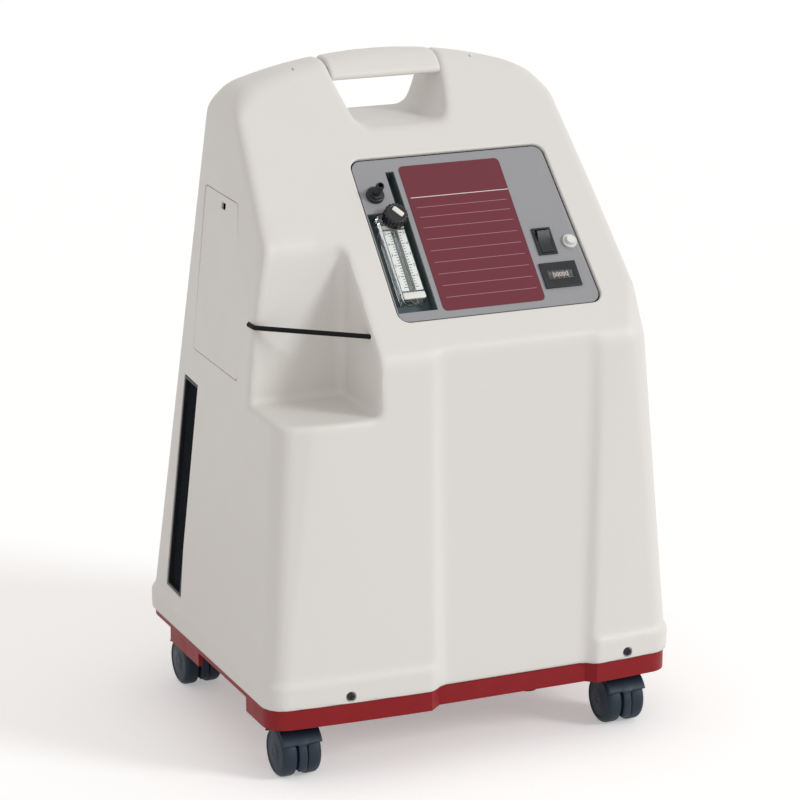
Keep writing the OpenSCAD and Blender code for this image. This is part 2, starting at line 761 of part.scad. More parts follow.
// Inner frame
deck_z = skirt_z;
sheet = 2;
bulkhead_y = 12;
bulkhead_top = handle_floor_z - 41;
bulkhead_margin = 22;
hose_d = 9;
hose_hole_d = hose_d + 5;
intake_cross = [-125, 325];
supply_cross = [-60, 345];
product_cross = [92, 388];
module bulkhead() {
  color(steel) {
    difference() {
      translate([0, bulkhead_y + sheet, 0]) rotate([90, 0, 0]) linear_extrude(sheet) polygon([
        [bulkhead_margin - side_x(deck_z), deck_z], [side_x(deck_z) - bulkhead_margin, deck_z],
        [side_x(bulkhead_top) - bulkhead_margin, bulkhead_top],
        [bulkhead_margin - side_x(bulkhead_top), bulkhead_top]]);
      for (p = [intake_cross, supply_cross, product_cross]) translate([p.x, bulkhead_y - 1, p.y])
        rotate([-90, 0, 0]) cylinder(d = hose_hole_d, h = sheet + 2);
    }
    translate([-150, bulkhead_y - 8, deck_z]) cube([300, 8 + eps, sheet]);
  }
}
comp_x = -29;
comp_y = (bulkhead_y - skirt_d / 2 + recess_depth) / 2;
mount_dx = 97;
mount_dy = (bulkhead_y + skirt_d / 2 - recess_depth) / 2 - 24;
shelf_left = niche_x + 14;
shelf_right = 170;
shelf_front = comp_y - mount_dy;
fan_x = 40;
fan_y = comp_y + 12;
supply_up = [155, -128];
module fan_shelf() {
  color(steel) difference() {
    union() {
      translate([shelf_left, shelf_front, shelf_z])
        cube([shelf_right - shelf_left, bulkhead_y - shelf_front, sheet]);
      translate([shelf_left, shelf_front, shelf_z - 14]) cube([shelf_right - shelf_left, sheet, 14 + eps]);
    }
    translate([fan_x, fan_y, shelf_z - 1]) cylinder(d = fan_size - 8, h = sheet + 2);
    translate([supply_up.x, supply_up.y, shelf_z - 1]) cylinder(d = hose_hole_d, h = sheet + 2);
  }
}

// Compressor: a motor between two crankcases, each with a cylinder and head on top
mount_places = [for (sx = [-1, 1], sy = [-1, 1]) [comp_x + sx * mount_dx, comp_y + sy * mount_dy]];
mount_waist_d = 14;
mount_top = deck_z + 18;
motor_len = 110;
crank_len = 34;
crank_w = 84;
head_gap = 7;
cylinder_top = shelf_z - 28;
shaft_d = 12;
shaft_reach = 121;
chamber_d = 66;
module compressor_body() {
  plate_t = 4;
  color([0.5, 0.52, 0.54]) difference() {
    union() {
      translate([comp_x, comp_y, shaft_z]) rotate([0, 90, 0])
        cylinder(d = motor_d, h = motor_len, center = true);
      for (s = [-1, 1]) translate([comp_x + s * (motor_len + crank_len) / 2, comp_y, shaft_z])
        cube([crank_len, crank_w, 90], center = true);
      translate([comp_x - mount_dx - 12, comp_y - mount_dy - 10, mount_top])
        cube([2 * mount_dx + 24, 2 * mount_dy + 20, plate_t]);
      translate([comp_x - 30, comp_y - 32, mount_top + plate_t - eps])
        cube([60, 64, shaft_z - mount_top - plate_t - 30]);
    }
    translate([comp_x, comp_y, shaft_z]) rotate([0, 90, 0])
      cylinder(d = shaft_d + 0.1, h = 300, center = true);
    for (s = [-1, 1]) translate([comp_x + s * (motor_len + crank_len) / 2, comp_y, shaft_z])
      rotate([0, 90, 0]) cylinder(d = chamber_d, h = crank_len - 10, center = true);
  }
}
module compressor_heads() {
  color([0.68, 0.69, 0.70]) for (s = [-1, 1])
  translate([comp_x + s * (motor_len + crank_len) / 2, comp_y, 0]) {
    translate([0, 0, shaft_z + 45]) cylinder(d = 32, h = cylinder_top - shaft_z - 45);
    for (z = [shaft_z + motor_d / 2 + 3:6:cylinder_top - 3]) translate([0, 0, z]) cylinder(d = 58, h = 2);
    translate([-crank_len, -35, cylinder_top]) cube([2 * crank_len, 70, 20]);
  }
}
module compressor_shaft() {
  color(steel) translate([comp_x, comp_y, shaft_z]) {
    rotate([0, 90, 0]) cylinder(d = shaft_d, h = 2 * shaft_reach, center = true);
    for (s = [-1, 1]) translate([s * (motor_len + crank_len) / 2, 0, 4 * s]) rotate([0, 90, 0])
      cylinder(d = 40, h = 14, center = true);
  }
}
vane_t = 1.6;
module vane_rotor(hub_d, tip_d, depth, count, pitch) {
  union() {
    cylinder(d = hub_d, h = depth);
    for (i = [0:count - 1]) rotate(i * 360 / count) translate([(hub_d - 2) / 2, 0, depth / 2])
      rotate([pitch, 0, 0]) translate([0, -vane_t / 2, -0.45 * depth])
        cube([(tip_d - hub_d) / 2, vane_t, 0.9 * depth]);
  }
}
module compressor_fans() {
  hub_len = 14;
  color(dark) for (s = [-1, 1])
  translate([comp_x + s * (shaft_reach - hub_len / 2), comp_y, shaft_z]) rotate([0, 90, 0])
    translate([0, 0, -hub_len / 2]) difference() {
      vane_rotor(26, 96, hub_len, 6, 30);
      translate([0, 0, -1]) cylinder(d = shaft_d + 0.04, h = hub_len + 2);
    }
}
module compressor_mounts() {
  color(dark) for (p = mount_places) translate([p.x, p.y, 0]) {
    translate([0, 0, deck_z]) cylinder(d = 24, h = mount_top - deck_z);
    translate([0, 0, deck_z - deck_t - eps]) cylinder(d = mount_waist_d, h = deck_t + 2 * eps);
    translate([0, 0, band_z - 6]) cylinder(d = 20, h = deck_z - deck_t - band_z + 6);
  }
}
fan_t = 26;
fan_z = shelf_z + sheet;
module fan_frame() {
  color(dark) translate([fan_x, fan_y, fan_z]) difference() {
    union() {
      difference() {
        translate([-fan_size / 2, -fan_size / 2, 0]) cube([fan_size, fan_size, fan_t]);
        translate([0, 0, -1]) cylinder(d = fan_size - 7, h = fan_t + 2);
      }
      cylinder(d = 42, h = 3);
      for (a = [45:90:315]) rotate(a) translate([10, -3, 0]) cube([fan_size / 2 - 12, 6, 3]);
    }
    translate([0, 0, -1]) cylinder(d = 5.1, h = 5);
  }
}
module fan_rotor() {
  color(dark) translate([fan_x, fan_y, fan_z]) {
    translate([0, 0, 0.2]) cylinder(d = 5, h = 5);
    translate([0, 0, 3.6]) vane_rotor(40, fan_size - 13, 20, 7, 35);
  }
}
exchanger_z = fan_z + fan_t;
exchanger_w = 104;
exchanger_h = 40;
exchanger_tube_z = exchanger_z + exchanger_h / 2;
module heat_exchanger() {
  fins = 13;
  color([0.78, 0.79, 0.80]) translate([fan_x, fan_y, exchanger_z]) union() {
    for (i = [0:fins - 1])
      translate([-exchanger_w / 2 + i * (exchanger_w - 1) / (fins - 1), -exchanger_w / 2, 0])
        cube([1, exchanger_w, exchanger_h]);
    for (y = [-30:20:30]) translate([-exchanger_w / 2 - (y == -10 ? 6 : 0), y, exchanger_h / 2])
      rotate([0, 90, 0]) cylinder(d = hose_d, h = exchanger_w + (y == -10 ? 12 : 0));
  }
}

// Rear compartment: two sieve beds and the product tank stand on the deck
bed_y = bulkhead_y + sheet + 12 + bed_d / 2;
bed_left_x = -108;
bed_right_x = -8;
tank_x = 92;
module canister(x, height) {
  cap_h = 18;
  translate([x, bed_y, deck_z]) {
    cylinder(d = bed_d, h = cap_h);
    cylinder(d = bed_d - 5, h = height);
    translate([0, 0, height - cap_h]) cylinder(d = bed_d, h = cap_h);
  }
}
module sieve_bed_left() {
  color([0.75, 0.76, 0.78]) canister(bed_left_x, bed_h);
}
module sieve_bed_right() {
  color([0.75, 0.76, 0.78]) canister(bed_right_x, bed_h);
}
module product_tank() {
  color([0.82, 0.83, 0.80]) canister(tank_x, tank_h);
}
manifold_z = deck_z + bed_h;
manifold_h = 30;
manifold_w = 48;
port_depth = 8;
solenoid_xs = [for (i = [0:3]) bed_left_x - 12 + i * (bed_right_x - bed_left_x + 24) / 3];
module valve_manifold() {
  color([0.66, 0.67, 0.69]) difference() {
    translate([bed_left_x - 34, bed_y - manifold_w / 2, manifold_z])
      cube([bed_right_x - bed_left_x + 68, manifold_w, manifold_h]);
    translate([supply_cross.x, bed_y - manifold_w / 2 - 1, manifold_z + manifold_h / 2])
      rotate([-90, 0, 0]) cylinder(d = hose_d + 0.1, h = 1 + port_depth);
  }
}
module valve_solenoids() {
  color([0.20, 0.21, 0.23]) for (x = solenoid_xs) translate([x, bed_y, manifold_z + manifold_h]) {
    cylinder(d = 24, h = 32);
    cylinder(d = 9, h = 38);
  }
}
regulator_z = deck_z + tank_h;
module regulator() {
  color(steel) translate([tank_x, bed_y, regulator_z]) {
    cylinder(d = 18, h = 12);
    translate([0, 0, 10]) cylinder(d = 42, h = 22);
    translate([0, 0, 32 - eps]) cylinder(d = hose_d, h = 10);
  }
}
board_x = 40;
board_z = bulkhead_top - 156;
module circuit_board() {
  w = 108;
  h = 96;
  standoff = 8;
  color([0.10, 0.36, 0.20]) {
    translate([board_x, bulkhead_y - standoff - 1.6, board_z]) cube([w, 1.6, h]);
    for (x = [6, w - 6], z = [6, h - 6]) translate([board_x + x, bulkhead_y, board_z + z])
      rotate([90, 0, 0]) cylinder(d = 6, h = standoff + eps);
    for (i = [0:3]) translate([board_x + 8 + 25 * i, bulkhead_y - standoff - 13, board_z + 22 + 14 * (i % 2)])
      cube([16, 12, 24]);
  }
}
capacitor_x = -24;
capacitor_h = 72;
module capacitor() {
  d = 40;
  color([0.80, 0.80, 0.82]) {
    translate([capacitor_x, bulkhead_y - d / 2 - 3, board_z]) cylinder(d = d, h = capacitor_h);
    translate([capacitor_x - 12, bulkhead_y - 12, board_z + 21]) cube([24, 12, 20]);
  }
}
module muffler() {
  color([0.25, 0.26, 0.28]) translate([skirt_w / 2 - 160, skirt_d / 2 - 39.5, deck_z]) {
    cylinder(d = 40, h = 100);
    cylinder(d = 12, h = 112);
  }
}
intake_x = -125;
intake_y = 46;
intake_z = bulkhead_top - 63;
module intake_filter() {
  color([0.88, 0.88, 0.86]) {
    translate([intake_x, intake_y, intake_z]) cylinder(d = 56, h = 52);
    translate([intake_x, intake_y, intake_z - 8]) cylinder(d = hose_d + 5, h = 9);
    translate([intake_x - 15, bulkhead_y + sheet, intake_z + 12]) cube([30, 20, 24]);
  }
}
module on_rear(x, z) {
  translate([x, rear_y(z), z]) rotate([rear_draft - 90, 0, 0]) children();
}
module power_inlet() {
  color(dark) on_rear(inlet_x, inlet_z) {
    difference() {
      union() {
        slab(0, 2) square([inlet_w + 10, inlet_h + 8], center = true);
        slab(-26, 0.5) square([inlet_w - 0.2, inlet_h - 0.2], center = true);
      }
      slab(-16, 3) square([26, 18], center = true);
    }
    for (x = [-7, 0, 7]) slab(-16 - eps, -1) translate([x, x == 0 ? -3 : 2]) square([2, 5], center = true);
  }
}

// Hoses: straight runs joined by ball-shaped elbows
module hose(points) {
  for (i = [0:len(points) - 2]) bar_between(points[i], points[i + 1], hose_d);
  for (i = [1:len(points) - 2]) translate(points[i]) sphere(d = hose_d + 1);
}
function on_face_point(x, s, h) = [x, brow_y + s * cos(face_tilt) - h * sin(face_tilt),
  brow_h + s * sin(face_tilt) + h * cos(face_tilt)];
module intake_hose() {
  gap_y = bulkhead_y + sheet + 6;
  head = [comp_x - (motor_len + crank_len) / 2, comp_y, cylinder_top + 20];
  color(dark) hose([
    [intake_x, intake_y, intake_z - 8], [intake_x, intake_y, intake_z - 22], [intake_x, gap_y, intake_z - 22],
    [intake_x, gap_y, intake_cross.y], [intake_x, comp_y + 30, intake_cross.y],
    [head.x, head.y, intake_cross.y], head]);
}
module supply_hose() {
  head = [comp_x + (motor_len + crank_len) / 2, comp_y - 35, cylinder_top + 10];
  tube_y = fan_y - 10;
  color(dark) {
    hose([head, [head.x, supply_up.y, head.z], [supply_up.x, supply_up.y, head.z],
      [supply_up.x, supply_up.y, exchanger_tube_z], [supply_up.x, tube_y, exchanger_tube_z],
      [fan_x + exchanger_w / 2 + 6, tube_y, exchanger_tube_z]]);
    hose([[fan_x - exchanger_w / 2 - 6, tube_y, exchanger_tube_z], [supply_cross.x, tube_y, exchanger_tube_z],
      [supply_cross.x, -10, supply_cross.y], [supply_cross.x, bulkhead_y + sheet + 6, supply_cross.y],
      [supply_cross.x, bulkhead_y + sheet + 6, manifold_z + manifold_h / 2],
      [supply_cross.x, bed_y - manifold_w / 2 + port_depth, manifold_z + manifold_h / 2]]);
  }
}
module product_hose() {
  top = regulator_z + 42;
  port_end = trough_floor - 9;
  color(dark) {
    hose([[tank_x, bed_y, top], [tank_x, bed_y, product_cross.y], [tank_x, -40, product_cross.y],
      [meter_x, -40, product_cross.y], on_face_point(meter_x, meter_ports[0], port_end - 14),
      on_face_point(meter_x, meter_ports[0], port_end)]);
    hose([
      on_face_point(meter_x, meter_ports[1], port_end),
      on_face_point(meter_x, meter_ports[1], port_end - 12),
      on_face_point(outlet_x, outlet_s, panel_back - 26),
      on_face_point(outlet_x, outlet_s, panel_back - 10)]);
  }
}

// Casters: front wheels trail forwards and rear wheels rearwards
module caster_sockets() {
  color(steel) for (p = caster_places) translate([p.x, p.y, band_z + 0.2]) difference() {
    cylinder(d = socket_od, h = socket_top - band_z - 0.2);
    translate([0, 0, -1]) cylinder(d = stem_d + 2 * stem_fit, h = 60);
  }
}
axle_d = 6;
fender_t = 2;
wheel_gap = 0.5;
web_t = 2 * (wheel_pitch / 2 - wheel_w / 2 - wheel_gap);
module at_caster(right, rear) {
  p = caster_xy(right, rear);
  translate([p.x, p.y, 0]) mirror([0, rear ? 0 : 1, 0]) children();
}
module caster_housing(right, rear) {
  r = wheel_d / 2;
  fender_in = r + 1.5;
  fender_out = fender_in + fender_t;
  top = band_z - 0.5;
  width = wheel_pitch + wheel_w;
  color(blue_black) at_caster(right, rear) union() {
    translate([0, 0, r + fender_out - 1]) cylinder(d = 32, h = top - r - fender_out + 1);
    translate([0, 0, r + fender_out - 1]) cylinder(d = stem_d, h = socket_top - 1 - r - fender_out + 1);
    translate([0, caster_trail, r]) rotate([0, 90, 0]) {
      cylinder(r = r - 4, h = web_t, center = true);
      cylinder(d = axle_d, h = width + 0.6, center = true);
      for (s = [-1, 1]) translate([0, 0, s * (width / 2 + 1)])
        cylinder(d = axle_d + 4, h = 1.4, center = true);
    }
    translate([-web_t / 2, -12, r + 12]) cube([web_t, caster_trail + 20, fender_out - 13]);
    intersection() {
      translate([0, caster_trail, r]) rotate([0, 90, 0]) difference() {
        cylinder(r = fender_out, h = width, center = true);
        cylinder(r = fender_in, h = width + 2, center = true);
      }
      translate([-far, -far, r + 9]) cube(2 * far);
    }
  }
}
module caster_wheel(right, rear, side) {
  r = wheel_d / 2;
  w = wheel_w;
  bore = axle_d / 2 + 0.05;
  color([0.12, 0.15, 0.18]) at_caster(right, rear) translate([side * wheel_pitch / 2, caster_trail, r])
    rotate([0, 90, 0]) rotate_extrude() polygon(rounded([
      [bore, -w / 2], [r - 6, -w / 2], [r, -w / 2 + 1], [r, w / 2 - 1], [r - 6, w / 2], [bore, w / 2]],
      [0, 0, 3, 3, 0, 0], 5));
}

cabinet();
handle_bar();
base_tray();
cabinet_screws();
access_door();
filter_frame(false);  // left_filter_frame
filter_foam(false);  // left_filter_foam
filter_frame(true);  // right_filter_frame
filter_foam(true);  // right_filter_foam
bottle_strap();
panel_bezel();
panel_gasket();
label_plate();
flowmeter_block();
flow_float();
flow_knob();
oxygen_outlet();
power_switch();
power_rocker();
breaker_body();
breaker_button();
hour_meter();
hour_window();
bulkhead();
fan_shelf();
compressor_body();
compressor_heads();
compressor_shaft();
compressor_fans();
compressor_mounts();
fan_frame();
fan_rotor();
heat_exchanger();
sieve_bed_left();
sieve_bed_right();
product_tank();
valve_manifold();
valve_solenoids();
regulator();
circuit_board();
capacitor();
muffler();
intake_filter();
power_inlet();
intake_hose();
supply_hose();
product_hose();
caster_sockets();
caster_housing(false, false);  // fl_housing
caster_wheel(false, false, -1);  // fl_wheel_a
caster_wheel(false, false, 1);  // fl_wheel_b
caster_housing(true, false);  // fr_housing
caster_wheel(true, false, -1);  // fr_wheel_a
caster_wheel(true, false, 1);  // fr_wheel_b
caster_housing(false, true);  // rl_housing
caster_wheel(false, true, -1);  // rl_wheel_a
caster_wheel(false, true, 1);  // rl_wheel_b
caster_housing(true, true);  // rr_housing
caster_wheel(true, true, -1);  // rr_wheel_a
caster_wheel(true, true, 1);  // rr_wheel_b
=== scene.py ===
import json
import math
import bmesh
import bpy
import numpy as np
import openvdb
from mathutils import Matrix, Vector


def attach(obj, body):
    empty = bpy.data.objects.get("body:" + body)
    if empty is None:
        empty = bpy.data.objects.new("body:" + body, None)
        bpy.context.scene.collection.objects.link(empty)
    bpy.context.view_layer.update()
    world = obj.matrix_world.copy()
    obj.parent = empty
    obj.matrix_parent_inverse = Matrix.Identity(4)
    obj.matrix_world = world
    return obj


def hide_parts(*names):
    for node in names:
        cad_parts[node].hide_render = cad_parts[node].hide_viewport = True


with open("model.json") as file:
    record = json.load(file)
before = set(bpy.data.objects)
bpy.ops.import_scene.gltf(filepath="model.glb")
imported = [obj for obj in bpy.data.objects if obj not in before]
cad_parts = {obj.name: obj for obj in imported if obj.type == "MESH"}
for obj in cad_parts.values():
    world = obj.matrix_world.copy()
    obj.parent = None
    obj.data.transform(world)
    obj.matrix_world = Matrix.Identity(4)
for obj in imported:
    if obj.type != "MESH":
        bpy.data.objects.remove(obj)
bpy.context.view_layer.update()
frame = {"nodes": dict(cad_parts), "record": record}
scene = bpy.context.scene
nodes = frame["nodes"]
record = frame["record"]
MM = 0.001

# ---------------------------------------------------------------- camera
SENSOR = 36              # mm
FOCAL = 146.325          # mm
CAMERA_AT = (-1.28223, -2.86601, 1.23823)                # m
AZIMUTH, ELEVATION, ROLL = -23.9266, 16.2773, 0.1525     # degrees


def camera():
    data = bpy.data.cameras.new("Camera")
    cam = bpy.data.objects.new("Camera", data)
    scene.collection.objects.link(cam)
    scene.camera = cam
    data.sensor_width = SENSOR
    data.lens = FOCAL
    data.shift_x = 0.0025
    data.clip_end = 30
    a, e, r = (math.radians(v) for v in (AZIMUTH, ELEVATION, ROLL))
    back = Vector((math.sin(a) * math.cos(e), -math.cos(a) * math.cos(e), math.sin(e)))
    side = Vector((math.cos(a), math.sin(a), 0))
    up = back.cross(side)
    right = side * math.cos(r) + up * math.sin(r)
    m = Matrix((right, up * math.cos(r) - side * math.sin(r), back)).transposed().to_4x4()
    m.translation = Vector(CAMERA_AT)
    cam.matrix_world = m


camera()

# ---------------------------------------------------------------- sizes of the part, in mm
overall_h, skirt_w, skirt_d, skirt_h, skirt_z = 665.0, 440.0, 355.0, 26.0, 77.5
skirt_flare, front_bow, wall = 3.0, 10.0, 4.0
side_draft, rear_draft, front_lean = (math.radians(v) for v in (5, 6.4, 1.7))
face_rise, crown_depth = 250.4, 41.0
corner_r, crown_r, shoulder_r = 22.0, 490.0, 41.0
niche_x, niche_y = -102.0, -75.0
recess_left, recess_right, recess_depth, recess_side = -48.0, 133.0, 12.0, 14.0
handle_gap, handle_floor_w, handle_floor_z = 121.0, 92.0, 601.0
bar_front, bar_rear, bar_low, bar_slit = 50.0, 97.0, 641.0, 1.2
panel_left, panel_right, panel_low, panel_len = -70.0, 148.0, 38.5, 183.5
panel_taper, panel_r, panel_sink = 9.0, 12.0, 2.5
body_z = skirt_z + skirt_h
half_w = skirt_w / 2 - skirt_flare
half_d = skirt_d / 2 - skirt_flare
brow_h = overall_h - face_rise
brow_y = -half_d + (brow_h - body_z) * math.tan(front_lean)
niche_z = brow_h - 55.6


def side_x(z):
    return half_w - (z - body_z) * math.tan(side_draft)


def rear_y(z):
    return half_d - (z - body_z) * math.tan(rear_draft)


face_tilt = math.atan(face_rise / (rear_y(overall_h) - crown_depth - brow_y))
CT, ST = math.cos(face_tilt), math.sin(face_tilt)
face_k = -brow_y * ST + brow_h * CT
rear_k = half_d * math.cos(rear_draft) + body_z * math.sin(rear_draft)
front_k = half_d * math.cos(front_lean) + body_z * math.sin(front_lean)


def on_face(x, s, h):
    """A point in the sloping face's frame: across, up the slope and out of it."""
    return (x, brow_y + s * CT - h * ST, brow_h + s * ST + h * CT)


def on_left(u, v, h, y0, z0):
    """A point in the left wall's frame: u rearwards, v upwards, h out of the wall."""
    c, s = math.cos(side_draft), math.sin(side_draft)
    return (-side_x(z0) - h * c + v * s, y0 + u, z0 + v * c + h * s)


# ---------------------------------------------------------------- mesh helpers
def add_mesh(name, points, faces, smooth=True):
    me = bpy.data.meshes.new(name)
    me.from_pydata([tuple(float(c) * MM for c in p) for p in points], [], [list(f) for f in faces])
    me.validate()
    obj = bpy.data.objects.new(name, me)
    scene.collection.objects.link(obj)
    if smooth:
        me.shade_smooth()
    return obj


def outward(obj):
    bm = bmesh.new()
    bm.from_mesh(obj.data)
    bmesh.ops.recalc_face_normals(bm, faces=bm.faces)
    bm.to_mesh(obj.data)
    bm.free()
    return obj


def sharp(obj, degrees=32):
    obj.data.shade_smooth()
    obj.data.set_sharp_from_angle(angle=math.radians(degrees))
    return obj


def settle(obj):
    """Applies the modifiers."""
    bpy.context.view_layer.update()
    me = bpy.data.meshes.new_from_object(obj.evaluated_get(bpy.context.evaluated_depsgraph_get()))
    obj.modifiers.clear()
    obj.data = me
    return obj


def loft(name, rings, closed=False):
    """A solid through rings of equal point count."""
    n = len(rings[0])
    points = [p for ring in rings for p in ring]
    faces = []
    m = len(rings)
    for i in range(m if closed else m - 1):
        a, b = i * n, (i + 1) % m * n
        faces += [(a + j, a + (j + 1) % n, b + (j + 1) % n, b + j) for j in range(n)]
    if not closed:
        faces += [tuple(reversed(range(n))), tuple(range((m - 1) * n, m * n))]
    return outward(add_mesh(name, points, faces))


def lathe(name, profile, place, n=48, closed=False):
    """Turns (radius, height) points about an axis; place maps (x, y, z) to the part."""
    rings = []
    for r, h in profile:
        rings.append([place(r * math.cos(2 * math.pi * j / n), r * math.sin(2 * math.pi * j / n), h)
                      for j in range(n)])
    return loft(name, rings, closed)


def bevel(obj, width, segments=2, degrees=30):
    mod = obj.modifiers.new("bevel", "BEVEL")
    mod.width = width * MM
    mod.segments = segments
    mod.limit_method = "ANGLE"
    mod.angle_limit = math.radians(degrees)
    mod.use_clamp_overlap = True
    return obj


def cut(obj, cutters, operation="DIFFERENCE"):
    for c in cutters:
        mod = obj.modifiers.new("cut", "BOOLEAN")
        mod.operation = operation
        mod.solver = "MANIFOLD"
        mod.object = c
    settle(obj)
    for c in cutters:
        bpy.data.objects.remove(c)
    return obj


def rounded(points, radii, n=8):
    """Polygon with rounded corners, always n + 1 points to a corner."""
    out = []
    m = len(points)
    for i in range(m):
        a, b, c = (np.array(points[k % m], float) for k in (i - 1, i, i + 1))
        r = max(radii[i], 0.01)
        u, v = (a - b) / np.linalg.norm(a - b), (c - b) / np.linalg.norm(c - b)
        half = math.acos(max(-1, min(1, u @ v))) / 2
        centre = b + (u + v) / np.linalg.norm(u + v) * r / math.sin(half)
        p0, p1 = b + u * r / math.tan(half) - centre, b + v * r / math.tan(half) - centre
        a0 = math.atan2(p0[1], p0[0])
        turn = (math.atan2(p1[1], p1[0]) - a0 + math.pi) % (2 * math.pi) - math.pi
        out += [tuple(centre + r * np.array([math.cos(a0 + turn * k / n), math.sin(a0 + turn * k / n)]))
                for k in range(n + 1)]
    return out


def eased(outline, place, r, deep, proud=6.0):
    """Rings of an opening's cutter, its edge eased by r at the surface."""
    steps = [(0, -deep)] + [(r * (1 - math.cos(t)), -r * (1 - math.sin(t)))
                            for t in (math.pi / 2 * k / 4 for k in range(5))] + [(r + 0.05, proud)]
    return [[place(p[0], p[1], h) for p in outline(g)] for g, h in steps]


def box(name, lo, hi):
    x0, y0, z0 = lo
    x1, y1, z1 = hi
    return loft(name, [[(x0, y0, z), (x1, y0, z), (x1, y1, z), (x0, y1, z)] for z in (z0, z1)])


def rod(name, a, b, d, n=32):
    a, b = Vector(a), Vector(b)
    q = (b - a).to_track_quat("Z", "Y")
    rings = [[tuple(end + q @ Vector((d / 2 * math.cos(2 * math.pi * j / n),
                                      d / 2 * math.sin(2 * math.pi * j / n), 0))) for j in range(n)]
             for end in (a, b)]
    return loft(name, rings)


# ---------------------------------------------------------------- distance fields
def meet(a, b, r):
    """Intersection of two fields, its edge rounded by r."""
    u, v = np.maximum(a + r, 0), np.maximum(b + r, 0)
    return np.minimum(np.maximum(a, b), -r) + np.sqrt(u * u + v * v)


def join(a, b, r):
    """Union of two fields, its inner corner filled by r."""
    u, v = np.maximum(r - a, 0), np.maximum(r - b, 0)
    return np.maximum(np.minimum(a, b), r) - np.sqrt(u * u + v * v)


def soften(d, times=1):
    for _ in range(times):
        for ax in range(3):
            lo, hi = np.roll(d, 1, ax), np.roll(d, -1, ax)
            d = 0.25 * lo + 0.5 * d + 0.25 * hi
    return d


def ease_step(x, a, b):
    t = np.clip((x - a) / (b - a), 0, 1)
    return t * t * (3 - 2 * t)


class Field:
    """A box of samples, v mm apart, from index lo to index hi."""

    def __init__(self, low, high, v):
        self.v = v
        self.lo = [int(math.floor(c / v)) for c in low]
        hi = [int(math.ceil(c / v)) for c in high]
        axes = [np.arange(a, b + 1, dtype=np.float32) * v for a, b in zip(self.lo, hi)]
        self.shape = tuple(len(a) for a in axes)
        self.x, self.y, self.z = (axes[0][:, None, None], axes[1][None, :, None], axes[2][None, None, :])

    def mesh_field(self, points, triangles, band):
        """Distance to a closed mesh, clipped to the band."""
        g = openvdb.FloatGrid.createLevelSetFromPolygons(
            np.ascontiguousarray(points, np.float32), triangles=np.ascontiguousarray(triangles, np.uint32),
            transform=openvdb.createLinearTransform(voxelSize=self.v), halfWidth=band / self.v)
        d = np.zeros(self.shape, np.float32)
        g.copyToArray(d, ijk=tuple(self.lo))
        return d

    def surface(self, d, name, adaptivity=0.0):
        band = 3 * self.v
        g = openvdb.FloatGrid(band)
        g.copyFromArray(np.clip(np.broadcast_to(d, self.shape), -band, band).astype(np.float32),
                        ijk=tuple(self.lo))
        g.transform = openvdb.createLinearTransform(voxelSize=self.v)
        g.gridClass = openvdb.GridClass.LEVEL_SET
        points, triangles, quads = g.convertToPolygons(isovalue=0.0, adaptivity=adaptivity)
        faces = quads.tolist() + triangles.tolist()
        return outward(add_mesh(name, points, faces))


# ---------------------------------------------------------------- cabinet form
brow_r, crest_r, face_edge_r, rear_edge_r = 30.0, 26.0, 9.0, 18.0
# how far the walls bulge: both sides at the face's edge, the left one at the niche's shelf
edge_swell, shelf_swell = 2.0, 9.0
EDGE_HEIGHTS = (450, 470, 490, 510, 530)
shoulder_x = side_x(overall_h - 60) - shoulder_r / math.cos(side_draft)
shoulder_z = overall_h - crown_r + math.sqrt((crown_r - shoulder_r) ** 2 - shoulder_x ** 2)
crown_end = math.asin(shoulder_x / (crown_r - shoulder_r))


def seat(z, r, rear):
    """Depth of a ball of radius r that touches the rear wall or the sloping face at height z."""
    if rear:
        return (rear_k - r - z * math.sin(rear_draft)) / math.cos(rear_draft)
    return (z * CT - face_k + r) / ST


def front_seat(z, r):
    """Depth of a ball of radius r that touches the leaning front at height z."""
    return -(front_k - r - z * math.sin(front_lean)) / math.cos(front_lean)


def form_balls():
    """Centre and radius of the balls that the cabinet's skin is stretched over."""
    balls = []
    for z in EDGE_HEIGHTS:
        r = face_edge_r
        balls.append((side_x(z) + edge_swell - r / math.cos(side_draft), seat(z, r, False), z, r))
    for rear in (False, True):
        for k in range(13):
            t = -6 + 60 * k / 12
            edge_r = rear_edge_r if rear else face_edge_r
            r = crest_r + (edge_r - crest_r) * (1 - max(0, min(1, (t - 14) / 20)))
            x = shoulder_x + (shoulder_r - r) * math.cos(math.radians(t))
            z = shoulder_z + (shoulder_r - r) * math.sin(math.radians(t))
            balls.append((x, seat(z, r, rear), z, r))
        for k in range(13):
            t = crown_end * k / 12
            x = (crown_r - crest_r) * math.sin(t)
            z = overall_h - crown_r + (crown_r - crest_r) * math.cos(t)
            balls.append((x, seat(z, crest_r, rear), z, crest_r))
    # the brow's ball touches both the sloping face and the front
    across = math.cos(front_lean) * (face_k - brow_r) - ST * (front_k - brow_r)
    z = across / math.cos(face_tilt + front_lean)
    balls.append((side_x(z) - brow_r, front_seat(z, brow_r), z, brow_r))
    balls += [(-x, y, z, r) for x, y, z, r in balls]
    balls.append((-(side_x(niche_z) + shelf_swell - corner_r),
                  front_seat(niche_z, corner_r) + front_bow / 2, niche_z, corner_r))
    return balls


def bow_y(x):
    """The skirt's bowed front."""
    return -skirt_d / 2 + front_bow * (2 * x / skirt_w) ** 2


def plan_points(inset):
    """The skirt's plan, moved inwards."""
    w, d, r = skirt_w / 2 - inset, skirt_d / 2 - inset, corner_r
    steps = 24
    xs = [-w + 2 * w * i / steps for i in range(1, steps)]
    corner_y = bow_y(w) + inset
    pts = [(-w, d), (-w, corner_y)] + [(x, bow_y(x) + inset) for x in xs] + [(w, corner_y), (w, d)]
    radii = [r, r] + [0.01] * len(xs) + [r, r]
    return rounded(pts, radii)


